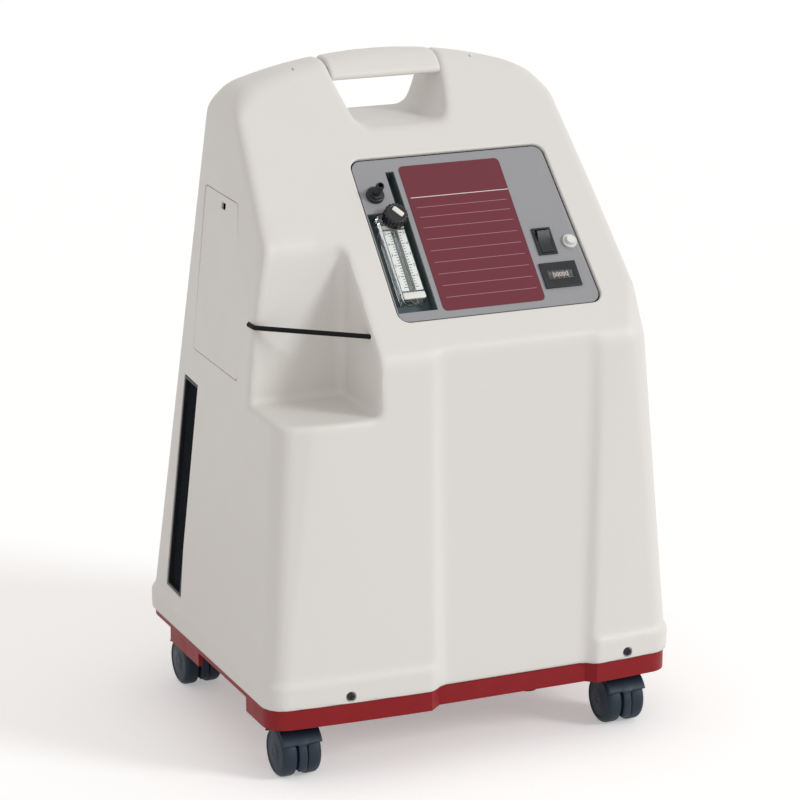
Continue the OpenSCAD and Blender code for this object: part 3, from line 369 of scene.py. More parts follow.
def hull_of(points):
    bm = bmesh.new()
    for p in points:
        bm.verts.new(p)
    res = bmesh.ops.convex_hull(bm, input=bm.verts)
    junk = [g for g in res["geom_interior"] + res["geom_unused"] if isinstance(g, bmesh.types.BMVert)]
    bmesh.ops.delete(bm, geom=list(set(junk)), context="VERTS")
    bmesh.ops.triangulate(bm, faces=bm.faces)
    bmesh.ops.recalc_face_normals(bm, faces=bm.faces)
    bm.verts.index_update()
    pts = np.array([v.co for v in bm.verts])
    tris = np.array([[v.index for v in f.verts] for f in bm.faces])
    bm.free()
    return pts, tris


def ball_directions():
    bm = bmesh.new()
    bmesh.ops.create_icosphere(bm, subdivisions=4, radius=1)
    d = np.array([v.co for v in bm.verts])
    bm.free()
    return d


def body_hull():
    dirs = ball_directions()
    pts = []
    for x, y, z, r in form_balls():
        keep = dirs
        if abs(x) > 1:
            keep = dirs[dirs[:, 0] * np.sign(x) > -0.25]
        pts.append(np.array([x, y, z]) + r * keep)
    foot = plan_points(skirt_flare)
    pts.append(np.array([(x, y, body_z) for x, y in foot]))
    pts.append(np.array([(x, y, body_z - 1) for x, y in foot]))
    return hull_of(np.vstack(pts).tolist())


hull_points, hull_triangles = body_hull()


def niche_field(f):
    """Negative where the bottle niche is cut away."""
    a, b, c = f.x - niche_x, f.y - niche_y, niche_z - f.z
    return meet(meet(a, b, 9.0), c, 7.0)


def handle_field(f):
    """Negative in the hand opening."""
    steep = np.array([26.0, -(handle_gap - handle_floor_w) / 2])
    steep /= np.linalg.norm(steep)
    side = np.abs(f.x)
    up = f.z - (handle_floor_z + 26)
    walls = meet(side - handle_gap / 2, (side - handle_gap / 2) * steep[0] + up * steep[1], 20.0)
    return meet(walls, handle_floor_z - f.z, 10.0)


def recess_field(f):
    """Negative in the sunk middle of the lower front."""
    z0, z1 = body_z - 60, overall_h - 225
    t = (f.z - z0) / (z1 - z0)
    depth = recess_depth + (4 - recess_depth) * t
    side = recess_side * (1 - t / 2)
    y0 = -skirt_d / 2 + (f.z - z0) * math.tan(front_lean)
    slope = side / np.maximum(depth, 1)
    lean = np.sqrt(1 + slope * slope)
    left = (recess_left + (f.y - y0) * slope - f.x) / lean
    right = (f.x - recess_right + (f.y - y0) * slope) / lean
    floor = f.y - (y0 + depth)
    return meet(meet(meet(left, right, 1.0), floor, 3.5), f.z - z1, 6.0)


def skirt_field(f):
    """Negative inside the skirt's plan, which goes on below it."""
    bow = -skirt_d / 2 + front_bow * (2 * f.x / skirt_w) ** 2
    sides = np.abs(f.x) - skirt_w / 2
    plan = meet(meet(sides, bow - f.y, corner_r), f.y - skirt_d / 2, corner_r)
    return meet(plan, f.z - (body_z - 1.5), 2.5)


def cabinet_field(f):
    body = f.mesh_field(hull_points, hull_triangles, 15.0)
    # the form goes straight down below its foot, so that the hollow is open there
    d = join(body, skirt_field(f), 7.0)
    d = meet(d, -recess_field(f), 1.6)
    niche = niche_field(f)
    # its edge is rounded by 5, and less up the side wall
    rise, inward = ease_step(f.z, niche_z + 8, niche_z + 40), ease_step(f.x, -130, niche_x - 3)
    d = meet(d, -niche, 5.0 - 2.6 * rise * inward)
    # the sloping face rolls softly over into the niche's back wall
    roll = ease_step(f.z, 455, 485) * (1 - ease_step(f.z, 520, 545)) * (1 - ease_step(f.y, -50, -35))
    roll = roll * ease_step(f.x, -182, -168) * (1 - ease_step(f.x, niche_x - 30, niche_x - 6))
    d = d + (soften(d, int(round(70 / f.v ** 2))) - d) * roll
    return meet(d, -handle_field(f), 5.5)


def panel_outline(g):
    return rounded([(panel_left - g, panel_low - g), (panel_right + g, panel_low - g),
                    (panel_right - panel_taper + g, panel_low + panel_len + g),
                    (panel_left - g, panel_low + panel_len + g)], [panel_r + g] * 4)


filter_y, filter_z, filter_w, filter_len, filter_lean = 97.0, 228.0, 40.0, 226.0, math.radians(2.7)


def filter_outline(g):
    c, s = math.cos(filter_lean), math.sin(filter_lean)
    w, h = filter_w / 2 + g, filter_len / 2 + g
    corners = rounded([(-w, -h), (w, -h), (w, h), (-w, h)], [0.3] * 4, 2)
    return [(x * c - y * s, x * s + y * c) for x, y in corners]


door_low, door_high = brow_h - 41.6, brow_h + 126.4
door_mid_y, door_mid_z = 40.0, (door_low + door_high) / 2
# the door's plane: how far it stands out of the plain left wall, its turn and its lean
door_bulge, door_yaw, door_draft = 2.05, math.radians(1.78), side_draft + math.radians(0.54)


def door_outline(g):
    front_low, front_high, rear = -41.0, -3.0, 92.0
    return rounded([(front_low - door_mid_y - g, door_low - door_mid_z - g),
                    (rear - door_mid_y + g, door_low - door_mid_z - g),
                    (rear - door_mid_y + g, door_high - door_mid_z + g),
                    (front_high - door_mid_y - g, door_high - door_mid_z + g)], [5] * 4)


def left_place(y0, z0, mirrored=False):
    def place(u, v, h):
        x, y, z = on_left(u, v, h, y0, z0)
        return (-x if mirrored else x, y, z)
    return place


def door_place(u, v, h):
    """The door's own frame, laid on the bulging left wall."""
    out, x = h * math.cos(door_draft) - v * math.sin(door_draft), -side_x(door_mid_z) - door_bulge
    return (x - out * math.cos(door_yaw) + u * math.sin(door_yaw),
            door_mid_y + out * math.sin(door_yaw) + u * math.cos(door_yaw),
            door_mid_z + v * math.cos(door_draft) + h * math.sin(door_draft))


screw_sink_d, screw_hole_d = 11.0, 4.4
screw_z, front_screw_x, rear_screw_x = skirt_z + 8.5, (-136.0, 165.0), (-150.0, 150.0)
inlet_x, inlet_z, inlet_half_w, inlet_half_h = skirt_w / 2 - 100, 150.0, 25.2, 14.2
tenon_y, tenon_z = bar_front + (bar_rear - bar_front) / 2 + 4, overall_h - (overall_h - bar_low) / 2 - 4
tenon_half_w, tenon_half_h, mortise_half_w, mortise_half_h = 9.8, 5.8, 10.1, 6.1
# the two small notches beside the handle bar
notch_x, notch_half_w, notch_y, notch_z = 96, 1.0, (63, 68), (651.5, 662)
strap_rise, strap_r, strap_hole_d, strap_off = 77, 2.3, 5.2, 2.8
strap_z = niche_z + strap_rise
strap_bulge = (shelf_swell - edge_swell) * strap_rise / (EDGE_HEIGHTS[-1] - niche_z)
strap_x = -side_x(strap_z) - shelf_swell + strap_bulge - 0.4
strap_back = Vector((strap_x, niche_y + 14, strap_z))
strap_turn = Vector((strap_x - strap_off, niche_y - strap_off, strap_z))
strap_front = Vector((niche_x, -139, strap_z - 3))
strap_aim = (strap_front - strap_turn).normalized()


FIELD_LOW, FIELD_HIGH = (-232, -190, 55), (232, 190, 678)
SKIN_STEP, CAVITY_STEP = 2.5, 5.0


def cabinet():
    f = Field(FIELD_LOW, FIELD_HIGH, SKIN_STEP)
    d = cabinet_field(f)
    outer = meet(d, skirt_z - f.z, 1.6)
    shell = f.surface(soften(outer), "cabinet_shell")
    coarse = Field(FIELD_LOW, FIELD_HIGH, CAVITY_STEP)
    inner = coarse.surface(np.maximum(cabinet_field(coarse) + wall, 66 - coarse.z), "cavity", 0.05)
    cutters = [inner, loft("panel_cut", eased(panel_outline, on_face, 1.6, 16))]
    for mirrored in (False, True):
        place = left_place(filter_y, filter_z, mirrored)
        cutters.append(loft("filter_cut", eased(filter_outline, place, 1.0, 12)))
    cutters.append(loft("door_cut", eased(door_outline, door_place, 0.5, 2.4)))
    cutters.append(loft("door_hole", [[door_place(u, v, h) for u, v in door_outline(-5)] for h in (-12, -1)]))
    for x in front_screw_x:
        y = bow_y(x)
        cutters.append(rod("screw_sink", (x, y + 2, screw_z), (x, y - 8, screw_z), screw_sink_d))
        cutters.append(rod("screw_hole", (x, y + 20, screw_z), (x, y - 1, screw_z), screw_hole_d))
    for x in rear_screw_x:
        y = skirt_d / 2
        cutters.append(rod("screw_sink", (x, y - 2, screw_z), (x, y + 8, screw_z), screw_sink_d))
        cutters.append(rod("screw_hole", (x, y - 20, screw_z), (x, y + 1, screw_z), screw_hole_d))
    y = rear_y(inlet_z)
    cutters.append(box("inlet_cut", (inlet_x - inlet_half_w, y - 20, inlet_z - inlet_half_h),
                       (inlet_x + inlet_half_w, y + 20, inlet_z + inlet_half_h)))
    reach = handle_gap / 2 + wall + 1
    cutters.append(box("mortise", (-reach, tenon_y - mortise_half_w, tenon_z - mortise_half_h),
                       (reach, tenon_y + mortise_half_w, tenon_z + mortise_half_h)))
    for low, high in ((strap_back - Vector((3, 0, 0)), strap_back + Vector((8, 0, 0))),
                      (strap_front - 6 * strap_aim, strap_front + 6 * strap_aim)):
        cutters.append(rod("strap_hole", low, high, strap_hole_d))
    for side in (-1, 1):
        cutters.append(box("notch", (side * notch_x - notch_half_w, notch_y[0], notch_z[0]),
                           (side * notch_x + notch_half_w, notch_y[1], notch_z[1])))
    cut(shell, cutters)
    sharp(shell, 34)
    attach(shell, "chassis")
    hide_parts("cabinet")
    return shell


def handle_bar():
    f = Field((-70, 30, 630), (70, 110, 675), 1.25)
    body = f.mesh_field(hull_points, hull_triangles, 12.0)
    section = meet(meet(bar_front - f.y, bar_low - f.z, 7.0), f.y - bar_rear, 6.0)
    d = meet(body, section, 7.0)
    d = meet(d, np.abs(f.x) - (handle_gap / 2 - bar_slit), 1.5)
    tenon = np.maximum(np.abs(f.y - tenon_y) - tenon_half_w, np.abs(f.z - tenon_z) - tenon_half_h)
    tenon = np.maximum(tenon, np.abs(f.x) - (handle_gap / 2 + 4))
    bar = f.surface(soften(np.minimum(d, tenon)), "grip_bar", 0.02)
    sharp(bar, 50)
    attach(bar, "chassis")
    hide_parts("handle_bar")
    return bar


shell = cabinet()
grip = handle_bar()


# ---------------------------------------------------------------- materials
def lin(r, g, b):
    """sRGB, 0 to 255, to linear."""
    return tuple(((c / 255 + 0.055) / 1.055) ** 2.4 if c > 10 else c / 3294 for c in (r, g, b))


# pointiness between which an edge goes from plain to worn, and depths between which the painted trough shade
# fades out
WORN_SPAN, TROUGH_SHADE_SPAN = (0.56, 0.66), (5.5, 3.6)


def material(name, rgb, rough, metal=0.0, tone=0.03, blotch=9.0, grain=500.0, height=0.06, spread=0.05,
             wear=0.0, worn=None, clear=0.0, coat=0.0, cells=False, deep=None, sheen=0.5):
    """Moulded or cast finish: soft colour change, uneven gloss, fine relief and worn edges.
    deep is a colour of painted shade, taken on down in the panel's trough."""
    mat = bpy.data.materials.new(name)
    mat.use_nodes = True
    tree = mat.node_tree
    shader = tree.nodes["Principled BSDF"]
    link = tree.links.new

    def node(kind, **inputs):
        n = tree.nodes.new(kind)
        for key, value in inputs.items():
            n.inputs[key.replace("_", " ")].default_value = value
        return n

    where = tree.nodes.new("ShaderNodeTexCoord").outputs["Object"]
    base = lin(*rgb)
    slow = node("ShaderNodeTexNoise", Scale=blotch, Detail=4.0, Roughness=0.6)
    link(where, slow.inputs["Vector"])
    mix = tree.nodes.new("ShaderNodeMix")
    mix.data_type = "RGBA"
    mix.inputs[6].default_value = tuple(c * (1 - tone) for c in base) + (1,)
    mix.inputs[7].default_value = tuple(min(1, c * (1 + tone)) for c in base) + (1,)
    link(slow.outputs["Fac"], mix.inputs[0])
    colour = mix.outputs[2]
    if wear:
        edge = tree.nodes.new("ShaderNodeNewGeometry").outputs["Pointiness"]
        scuff = node("ShaderNodeTexNoise", Scale=70.0, Detail=5.0)
        link(where, scuff.inputs["Vector"])
        add = node("ShaderNodeMath")
        add.operation = "MULTIPLY_ADD"
        add.inputs[1].default_value = 0.06
        link(scuff.outputs["Fac"], add.inputs[0])
        link(edge, add.inputs[2])
        ramp = tree.nodes.new("ShaderNodeMapRange")
        ramp.inputs["From Min"].default_value, ramp.inputs["From Max"].default_value = WORN_SPAN
        ramp.inputs["To Max"].default_value = wear
        link(add.outputs[0], ramp.inputs["Value"])
        rub = tree.nodes.new("ShaderNodeMix")
        rub.data_type = "RGBA"
        rub.inputs[7].default_value = lin(*(worn or (235, 235, 232))) + (1,)
        link(ramp.outputs[0], rub.inputs[0])
        link(colour, rub.inputs[6])
        colour = rub.outputs[2]
    if deep:
        # painted shade: darker in the trough, below the sloping face
        height_of = node("ShaderNodeVectorMath")
        height_of.operation = "DOT_PRODUCT"
        height_of.inputs[1].default_value = (0.0, -ST, CT)
        link(where, height_of.inputs[0])
        low = tree.nodes.new("ShaderNodeMapRange")
        low.inputs["From Min"].default_value = (face_k - TROUGH_SHADE_SPAN[0]) * MM
        low.inputs["From Max"].default_value = (face_k - TROUGH_SHADE_SPAN[1]) * MM
        low.inputs["To Min"].default_value = 1.0
        low.inputs["To Max"].default_value = 0.0
        link(height_of.outputs["Value"], low.inputs["Value"])
        sink = tree.nodes.new("ShaderNodeMix")
        sink.data_type = "RGBA"
        sink.inputs[7].default_value = lin(*deep) + (1,)
        link(low.outputs[0], sink.inputs[0])
        link(colour, sink.inputs[6])
        colour = sink.outputs[2]
    link(colour, shader.inputs["Base Color"])
    gloss = node("ShaderNodeTexNoise", Scale=blotch * 5, Detail=5.0)
    link(where, gloss.inputs["Vector"])
    span = tree.nodes.new("ShaderNodeMapRange")
    span.inputs["From Min"].default_value = 0.3
    span.inputs["From Max"].default_value = 0.7
    span.inputs["To Min"].default_value = max(0.02, rough - spread)
    span.inputs["To Max"].default_value = min(1.0, rough + spread)
    link(gloss.outputs["Fac"], span.inputs["Value"])
    link(span.outputs[0], shader.inputs["Roughness"])
    if cells:
        fine = node("ShaderNodeTexVoronoi", Scale=grain)
        relief = fine.outputs["Distance"]
    else:
        fine = node("ShaderNodeTexNoise", Scale=grain, Detail=3.0, Roughness=0.55)
        relief = fine.outputs["Fac"]
    link(where, fine.inputs["Vector"])
    bump = node("ShaderNodeBump", Strength=1.0, Distance=height * MM)
    link(relief, bump.inputs["Height"])
    link(bump.outputs[0], shader.inputs["Normal"])
    shader.inputs["Metallic"].default_value = metal
    shader.inputs["IOR"].default_value = 1.49
    shader.inputs["Specular IOR Level"].default_value = sheen
    if clear:
        shader.inputs["Transmission Weight"].default_value = clear
    if coat:
        shader.inputs["Coat Weight"].default_value = coat
        shader.inputs["Coat Roughness"].default_value = 0.12
    return mat


FINISH = {
    "cabinet_plastic": dict(rgb=(226, 224, 220), rough=0.46, tone=0.012, grain=420, height=0.07, wear=0.25,
                            worn=(236, 235, 232)),
    "base_plastic": dict(rgb=(136, 16, 24), rough=0.42, tone=0.06, grain=600, height=0.05, wear=0.3,
                         worn=(170, 66, 70), sheen=0.25),
    "black_plastic": dict(rgb=(30, 33, 37), rough=0.42, tone=0.08, grain=900, height=0.04, wear=0.25,
                          worn=(84, 88, 94), sheen=0.35),
    # its deep colour is painted shade in the panel's trough
    "panel_plastic": dict(rgb=(152, 153, 157), rough=0.5, tone=0.03, grain=1300, height=0.06, wear=0.3,
                          worn=(188, 188, 190), deep=(84, 98, 102)),
    "label_film": dict(rgb=(110, 40, 54), rough=0.4, tone=0.04, grain=1500, height=0.015, coat=0.1,
                       sheen=0.3),
    "clear_acrylic": dict(rgb=(236, 240, 240), rough=0.07, tone=0.01, grain=120, height=0.01, spread=0.03,
                          clear=0.95),
    "rubber_black": dict(rgb=(9, 9, 10), rough=0.7, tone=0.1, grain=1400, height=0.08, sheen=0.2),
    "foam": dict(rgb=(13, 19, 24), rough=0.95, tone=0.25, blotch=60, grain=650, height=0.9, cells=True,
                 sheen=0.1),
    "knob_plastic": dict(rgb=(16, 16, 18), rough=0.32, tone=0.1, grain=1100, height=0.03, wear=0.3,
                         worn=(70, 72, 76)),
    "button_plastic": dict(rgb=(232, 232, 228), rough=0.35, tone=0.02, grain=900, height=0.02),
    "steel": dict(rgb=(186, 188, 192), rough=0.3, metal=1.0, tone=0.05, grain=900, height=0.02),
    "zinc_sheet": dict(rgb=(178, 182, 188), rough=0.42, metal=1.0, tone=0.18, blotch=40, grain=300,
                       height=0.02),
    "cast_aluminium": dict(rgb=(176, 178, 181), rough=0.5, metal=1.0, tone=0.08, grain=700, height=0.12),
    "motor_paint": dict(rgb=(72, 78, 86), rough=0.4, tone=0.06, grain=500, height=0.08, wear=0.2),
    "hose_vinyl": dict(rgb=(44, 45, 49), rough=0.35, tone=0.08, grain=400, height=0.05),
    "board_green": dict(rgb=(28, 92, 58), rough=0.35, tone=0.12, blotch=120, grain=900, height=0.04),
    "filter_white": dict(rgb=(224, 224, 217), rough=0.7, tone=0.04, grain=800, height=0.15),
    "caster_plastic": dict(rgb=(36, 50, 64), rough=0.4, tone=0.07, grain=900, height=0.05, wear=0.3,
                           worn=(92, 106, 120), sheen=0.3),
    "wheel_rubber": dict(rgb=(34, 47, 60), rough=0.5, tone=0.1, grain=900, height=0.06, wear=0.3,
                         worn=(84, 96, 108), sheen=0.3),
}
finish = {slot: material(slot, **spec) for slot, spec in FINISH.items()}
white_print = material("print_white", (226, 218, 218), 0.5, tone=0.04, grain=1500, height=0.01)
rose_print = material("print_rose", (176, 128, 138), 0.5, tone=0.05, grain=1500, height=0.01)
black_print = material("print_black", (24, 26, 28), 0.45, tone=0.05, grain=1500, height=0.01)
scale_white = material("scale_white", (232, 236, 234), 0.45, tone=0.02, grain=1500, height=0.01)
plate_silver = material("plate_silver", (214, 216, 214), 0.38, tone=0.05, grain=900, height=0.02)


def paint(obj, mat):
    obj.data.materials.clear()
    obj.data.materials.append(mat)


def piece(obj, body, slot, *replaced, mat=None):
    paint(obj, mat or finish[slot])
    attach(obj, body)
    if replaced:
        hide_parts(*replaced)
    return obj


for o in (shell, grip):
    paint(o, finish["cabinet_plastic"])


# ---------------------------------------------------------------- CAD nodes: smooth faces, eased edges
def smooth_group():
    """Welds a CAD mesh and smooths it, keeping edges over 32 degrees sharp."""
    g = bpy.data.node_groups.new("smooth_by_angle", "GeometryNodeTree")
    g.interface.new_socket("Geometry", in_out="INPUT", socket_type="NodeSocketGeometry")
    g.interface.new_socket("Geometry", in_out="OUTPUT", socket_type="NodeSocketGeometry")
    start, end = g.nodes.new("NodeGroupInput"), g.nodes.new("NodeGroupOutput")
    weld = g.nodes.new("GeometryNodeMergeByDistance")
    weld.inputs["Distance"].default_value = 2e-6
    drop = g.nodes.new("GeometryNodeRemoveAttribute")
    drop.inputs["Name"].default_value = "custom_normal"
    faces, edges = (g.nodes.new("GeometryNodeSetShadeSmooth") for _ in range(2))
    edges.domain = "EDGE"
    angle = g.nodes.new("GeometryNodeInputMeshEdgeAngle")
    compare = g.nodes.new("FunctionNodeCompare")
    compare.operation = "LESS_EQUAL"
    compare.inputs["B"].default_value = math.radians(32)
    link = g.links.new
    link(start.outputs[0], weld.inputs["Geometry"])
    link(weld.outputs[0], drop.inputs["Geometry"])
    link(drop.outputs[0], faces.inputs["Geometry"])
    link(faces.outputs[0], edges.inputs["Geometry"])
    link(angle.outputs["Unsigned Angle"], compare.inputs["A"])
    link(compare.outputs[0], edges.inputs["Shade Smooth"])
    link(edges.outputs[0], end.inputs[0])
    return g


smoother = smooth_group()
slot_of = {s["node"]: s["material_slot"] for s in record["subparts"]}
# width of the eased edge, mm
EASED = {"base_tray": 1.2, "access_door": 0.5, "panel_bezel": 0.7, "label_plate": 0.25, "power_switch": 0.5,
         "power_rocker": 0.5, "breaker_body": 0.4, "breaker_button": 0.7, "hour_meter": 0.5,
         "cabinet_screws": 0.3, "power_inlet": 0.6, "left_filter_frame": 0.4, "right_filter_frame": 0.4}
for name, obj in nodes.items():
    paint(obj, finish[slot_of[name]])
    mod = obj.modifiers.new("smooth", "NODES")
    mod.node_group = smoother
    if name in EASED:
        bevel(obj, EASED[name], 2, 34)
paint(nodes["breaker_body"], plate_silver)

# ---------------------------------------------------------------- control panel
meter_x, meter_low, meter_len, meter_w, meter_t = panel_left + 25, panel_low + 25.5, 96.0, 24.0, 14.0
trough_floor = -17.5
meter_top = trough_floor + meter_t
knob_x, knob_s = meter_x + 2, meter_low + meter_len - 8
outlet_x, outlet_s = panel_left + 16.5, panel_low + 142
label_left, label_low, label_w = panel_left + 49.5, panel_low + 9, 108.5
label_top = -panel_sink + 0.6


def face_slab(name, outline, h0, h1, ease=0.0):
    """A plate in the face's frame, its top edge eased."""
    cx = sum(p[0] for p in outline) / len(outline)
    cs = sum(p[1] for p in outline) / len(outline)
    rx = max(abs(p[0] - cx) for p in outline)
    rs = max(abs(p[1] - cs) for p in outline)
    rings = []
    levels = [(0.0, h0), (0.0, h1 - ease)]
    if ease:
        levels += [(ease * 0.3, h1 - ease * 0.3), (ease, h1)]
    for g, h in levels:
        rings.append([on_face(cx + (x - cx) * (1 - g / rx), cs + (s - cs) * (1 - g / rs), h)
                      for x, s in outline])
    return sharp(loft(name, rings), 40)


def rect(x0, x1, s0, s1, r=0.2, n=3):
    return rounded([(x0, s0), (x1, s0), (x1, s1), (x0, s1)], [r] * 4, n)


def merged(name, objs):
    """Several meshes as one piece."""
    bm = bmesh.new()
    for o in objs:
        bm.from_mesh(o.data)
        bpy.data.objects.remove(o)
    me = bpy.data.meshes.new(name)
    bm.to_mesh(me)
    bm.free()
    obj = bpy.data.objects.new(name, me)
    scene.collection.objects.link(obj)
    return sharp(obj, 40)


def numerals(name, text, size, x, s, h):
    """Plain digits centred on the face at x, s, at height h."""
    curve = bpy.data.curves.new(name, "FONT")
    curve.body = text
    curve.size = size * MM
    curve.extrude = 0.03 * MM
    curve.align_x = "CENTER"
    curve.align_y = "CENTER"
    curve.resolution_u = 3
    obj = bpy.data.objects.new(name, curve)
    scene.collection.objects.link(obj)
    obj.matrix_world = Matrix.Translation(Vector(on_face(x, s, h)) * MM) @ Matrix.Rotation(face_tilt, 4, "X")
    bpy.context.view_layer.update()
    me = bpy.data.meshes.new_from_object(obj.evaluated_get(bpy.context.evaluated_depsgraph_get()))
    me.transform(obj.matrix_world)
    bpy.data.objects.remove(obj)
    out = bpy.data.objects.new(name, me)
    scene.collection.objects.link(out)
    return out


def panel_print():
    x0, x1 = label_left + 3, label_left + label_w - 0.5
    rule = face_slab("rule", rect(x0, x1, label_low + 126.2, label_low + 127.0, 0.1, 1),
                     label_top - 0.1, label_top + 0.04)
    piece(rule, "chassis", "label_film", mat=white_print)
    rows = []
    for s in (115, 104, 92, 79, 66, 53, 40, 27, 14):
        rows.append(face_slab("row", rect(x0 + 3, x1 - 5, label_low + s, label_low + s + 0.5, 0.1, 1),
                              label_top - 0.1, label_top + 0.04))
    piece(merged("label_rows", rows), "chassis", "label_film", mat=rose_print)


def flowmeter():
    x, w, high = meter_x, meter_w / 2, meter_low + meter_len
    plate = face_slab("meter_plate", rect(x - w + 1, x + w - 1, meter_low + 1, high - 1, 1.0),
                      trough_floor + 0.1, trough_floor + 1.3)
    piece(plate, "chassis", "steel", mat=plate_silver)
    block = face_slab("meter_block", rect(x - w, x + w, meter_low, high, 1.5),
                      trough_floor + 1.5, meter_top, 1.0)
    bore = [on_face(x, meter_low + 8, trough_floor + 7.6), on_face(x, meter_low + 76, trough_floor + 7.6)]
    cut(block, [rod("bore", bore[0], bore[1], 7.0)])
    sharp(block, 40)
    piece(block, "chassis", "clear_acrylic", "flowmeter_block")
    # marks on the front: a long stroke for each litre, short ones between
    strips = []
    for side in (-1, 1):
        mid = x + side * 7.4
        strips.append(face_slab("strip", rect(mid - 3.7, mid + 3.7, meter_low + 10, meter_low + 77, 0.4),
                                meter_top - 0.1, meter_top + 0.04))
    piece(merged("meter_scale", strips), "chassis", "label_film", mat=scale_white)
    marks, top = [], meter_top + 0.1
    for k in range(21):
        s = meter_low + 14 + k * 3.0
        stroke = 3.4 if k % 4 == 0 else 1.8
        for x0, x1 in ((x - 4.2 - stroke, x - 4.2), (x + 4.2, x + 4.2 + stroke)):
            marks.append(face_slab("mark", rect(x0, x1, s - 0.32, s + 0.32, 0.05, 1), meter_top - 0.1, top))
    for k in range(1, 6):
        for off in (-9.6, 9.6):
            marks.append(numerals("digit", str(k), 4.2, x + off, meter_low + 14 + k * 12, meter_top + 0.09))
    piece(merged("meter_marks", marks), "chassis", "label_film", mat=black_print)
    ends = []
    for s0, s1 in ((meter_low + 1, meter_low + 8), (meter_low + 79, meter_low + 83)):
        ends.append(face_slab("cap", rect(x - w + 0.5, x + w - 0.5, s0, s1, 1.2),
                              meter_top - 0.2, meter_top + 0.9, 0.5))
    piece(merged("meter_ends", ends), "chassis", "button_plastic")


def knob():
    n, r, flutes = 144, 12.0, 18
    profile = [(3.0, -9.2), (3.0, -1.5), (r - 1.2, -1.5), (r - 0.3, -1.0), (r, -0.2), (r, 3.0), (r, 6.5),
               (r, 9.0), (r - 0.4, 10.2), (r - 1.4, 11.1), (r - 2.4, 11.5), (r - 3.6, 11.5), (r - 4.0, 11.2),
               (r - 4.2, 10.8), (3.0, 10.6), (0.6, 10.6)]
    fluted = range(2, 10)
    rings = []
    for k, (rad, h) in enumerate(profile):
        ring = []
        for j in range(n):
            t = 2 * math.pi * j / n
            off = (t / (2 * math.pi / flutes) + 0.5) % 1 - 0.5
            out = rad - (1.1 * math.exp(-(off / 0.2) ** 2) if k in fluted else 0)
            ring.append(on_face(knob_x + out * math.cos(t), knob_s + out * math.sin(t), h))
        rings.append(ring)
    body = sharp(loft("knob_grip", rings), 50)
    piece(body, "flow_knob", "knob_plastic", "flow_knob")
    # white pointer bar, laid and sized where the knob shows its highlight: partly a painted highlight
    aim = math.radians(-50)
    c, s = math.cos(aim), math.sin(aim)
    bar = [(knob_x + u * c - v * s, knob_s + u * s + v * c)
           for u, v in rounded([(-6.2, -0.2), (6.2, -0.2), (6.2, 5.0), (-6.2, 5.0)], [1.4] * 4, 4)]
    piece(face_slab("knob_pointer_highlight", bar, 10.4, 11.75, 0.3), "flow_knob", "button_plastic")


def outlet():
    x, s = outlet_x, outlet_s
    profile = [(9.0, -2.4), (9.0, 0.8), (8.4, 1.5), (7.2, 1.8), (6.2, 1.9), (5.9, 3.2), (4.6, 3.8),
               (3.5, 4.2)]
    for k in range(4):
        h = 6.2 + k * 3.1
        profile += [(3.3, h - 1.2), (4.15, h), (4.2, h + 0.3), (3.5, h + 1.8)]
    profile += [(3.2, 17.6), (2.9, 18.0), (2.5, 17.8), (2.4, 2.0), (2.4, -17.7), (6.2, -17.7), (6.2, -2.4)]
    fitting = lathe("outlet_fitting", profile, lambda a, b, h: on_face(x + a, s + b, h), 48, True)
    piece(sharp(fitting, 50), "chassis", "black_plastic", "oxygen_outlet")
    hexagon = []
    for k in range(6):
        t = math.radians(60 * k + 8)
        hexagon.append((x + 7.4 * math.cos(t), s + 7.4 * math.sin(t)))
    nut = face_slab("outlet_nut", rounded(hexagon, [0.6] * 6, 3), 1.0, 4.2, 0.5)
    piece(nut, "chassis", "black_plastic")


def panel_marks():
    hour_x, hour_s = panel_left + 182, panel_low + 34.5
    top = -panel_sink + 1.62
    digits = numerals("hour_digits", "00000", 6.6, hour_x, hour_s - 0.1, -panel_sink + 1.63)
    piece(digits, "chassis", "label_film", mat=white_print)
    bars = []
    for k in range(1, 5):
        x = hour_x - 13.2 + 5.28 * k
        bars.append(face_slab("bar", rect(x - 0.14, x + 0.14, hour_s - 4.2, hour_s + 4.2, 0.05, 1),
                              top - 0.1, top))
    piece(merged("hour_bars", bars), "chassis", "label_film", mat=plate_silver)


panel_print()
flowmeter()
knob()
outlet()
panel_marks()


# ---------------------------------------------------------------- foam pads, strap
def foam_pad(name, mirrored):
    rng = np.random.default_rng(7)
    place = left_place(filter_y, filter_z, mirrored)
    w, h = filter_w / 2 - 3.5, filter_len / 2 - 3.5
    nx, nz = 14, 90
    c, s = math.cos(filter_lean), math.sin(filter_lean)
    rows = []
    for side in (0, 1):
        for j in range(nz + 1):
            for i in range(nx + 1):
                u, v = (2 * i / nx - 1), (2 * j / nz - 1)
                crown = (1 - u ** 6) * (1 - v ** 12)
                lift = -3.4 + 1.1 * crown + 0.22 * rng.standard_normal() * crown if side == 0 else -11.3
                x, z = u * w, v * h
                rows.append(place(x * c - z * s, x * s + z * c, lift))
    n = (nx + 1) * (nz + 1)

    def at(side, j, i):
        return side * n + j * (nx + 1) + i

    faces = []
    for side in (0, 1):
        for j in range(nz):
            for i in range(nx):
                faces.append((at(side, j, i), at(side, j, i + 1), at(side, j + 1, i + 1), at(side, j + 1, i)))
    for j in range(nz):
        for i in (0, nx):
            faces.append((at(0, j, i), at(0, j + 1, i), at(1, j + 1, i), at(1, j, i)))
    for i in range(nx):
        for j in (0, nz):
            faces.append((at(0, j, i), at(0, j, i + 1), at(1, j, i + 1), at(1, j, i)))
    pad = sharp(outward(add_mesh(name, rows, faces)), 60)
    side = "right" if mirrored else "left"
    piece(pad, side + "_filter", "foam", side + "_filter_foam")


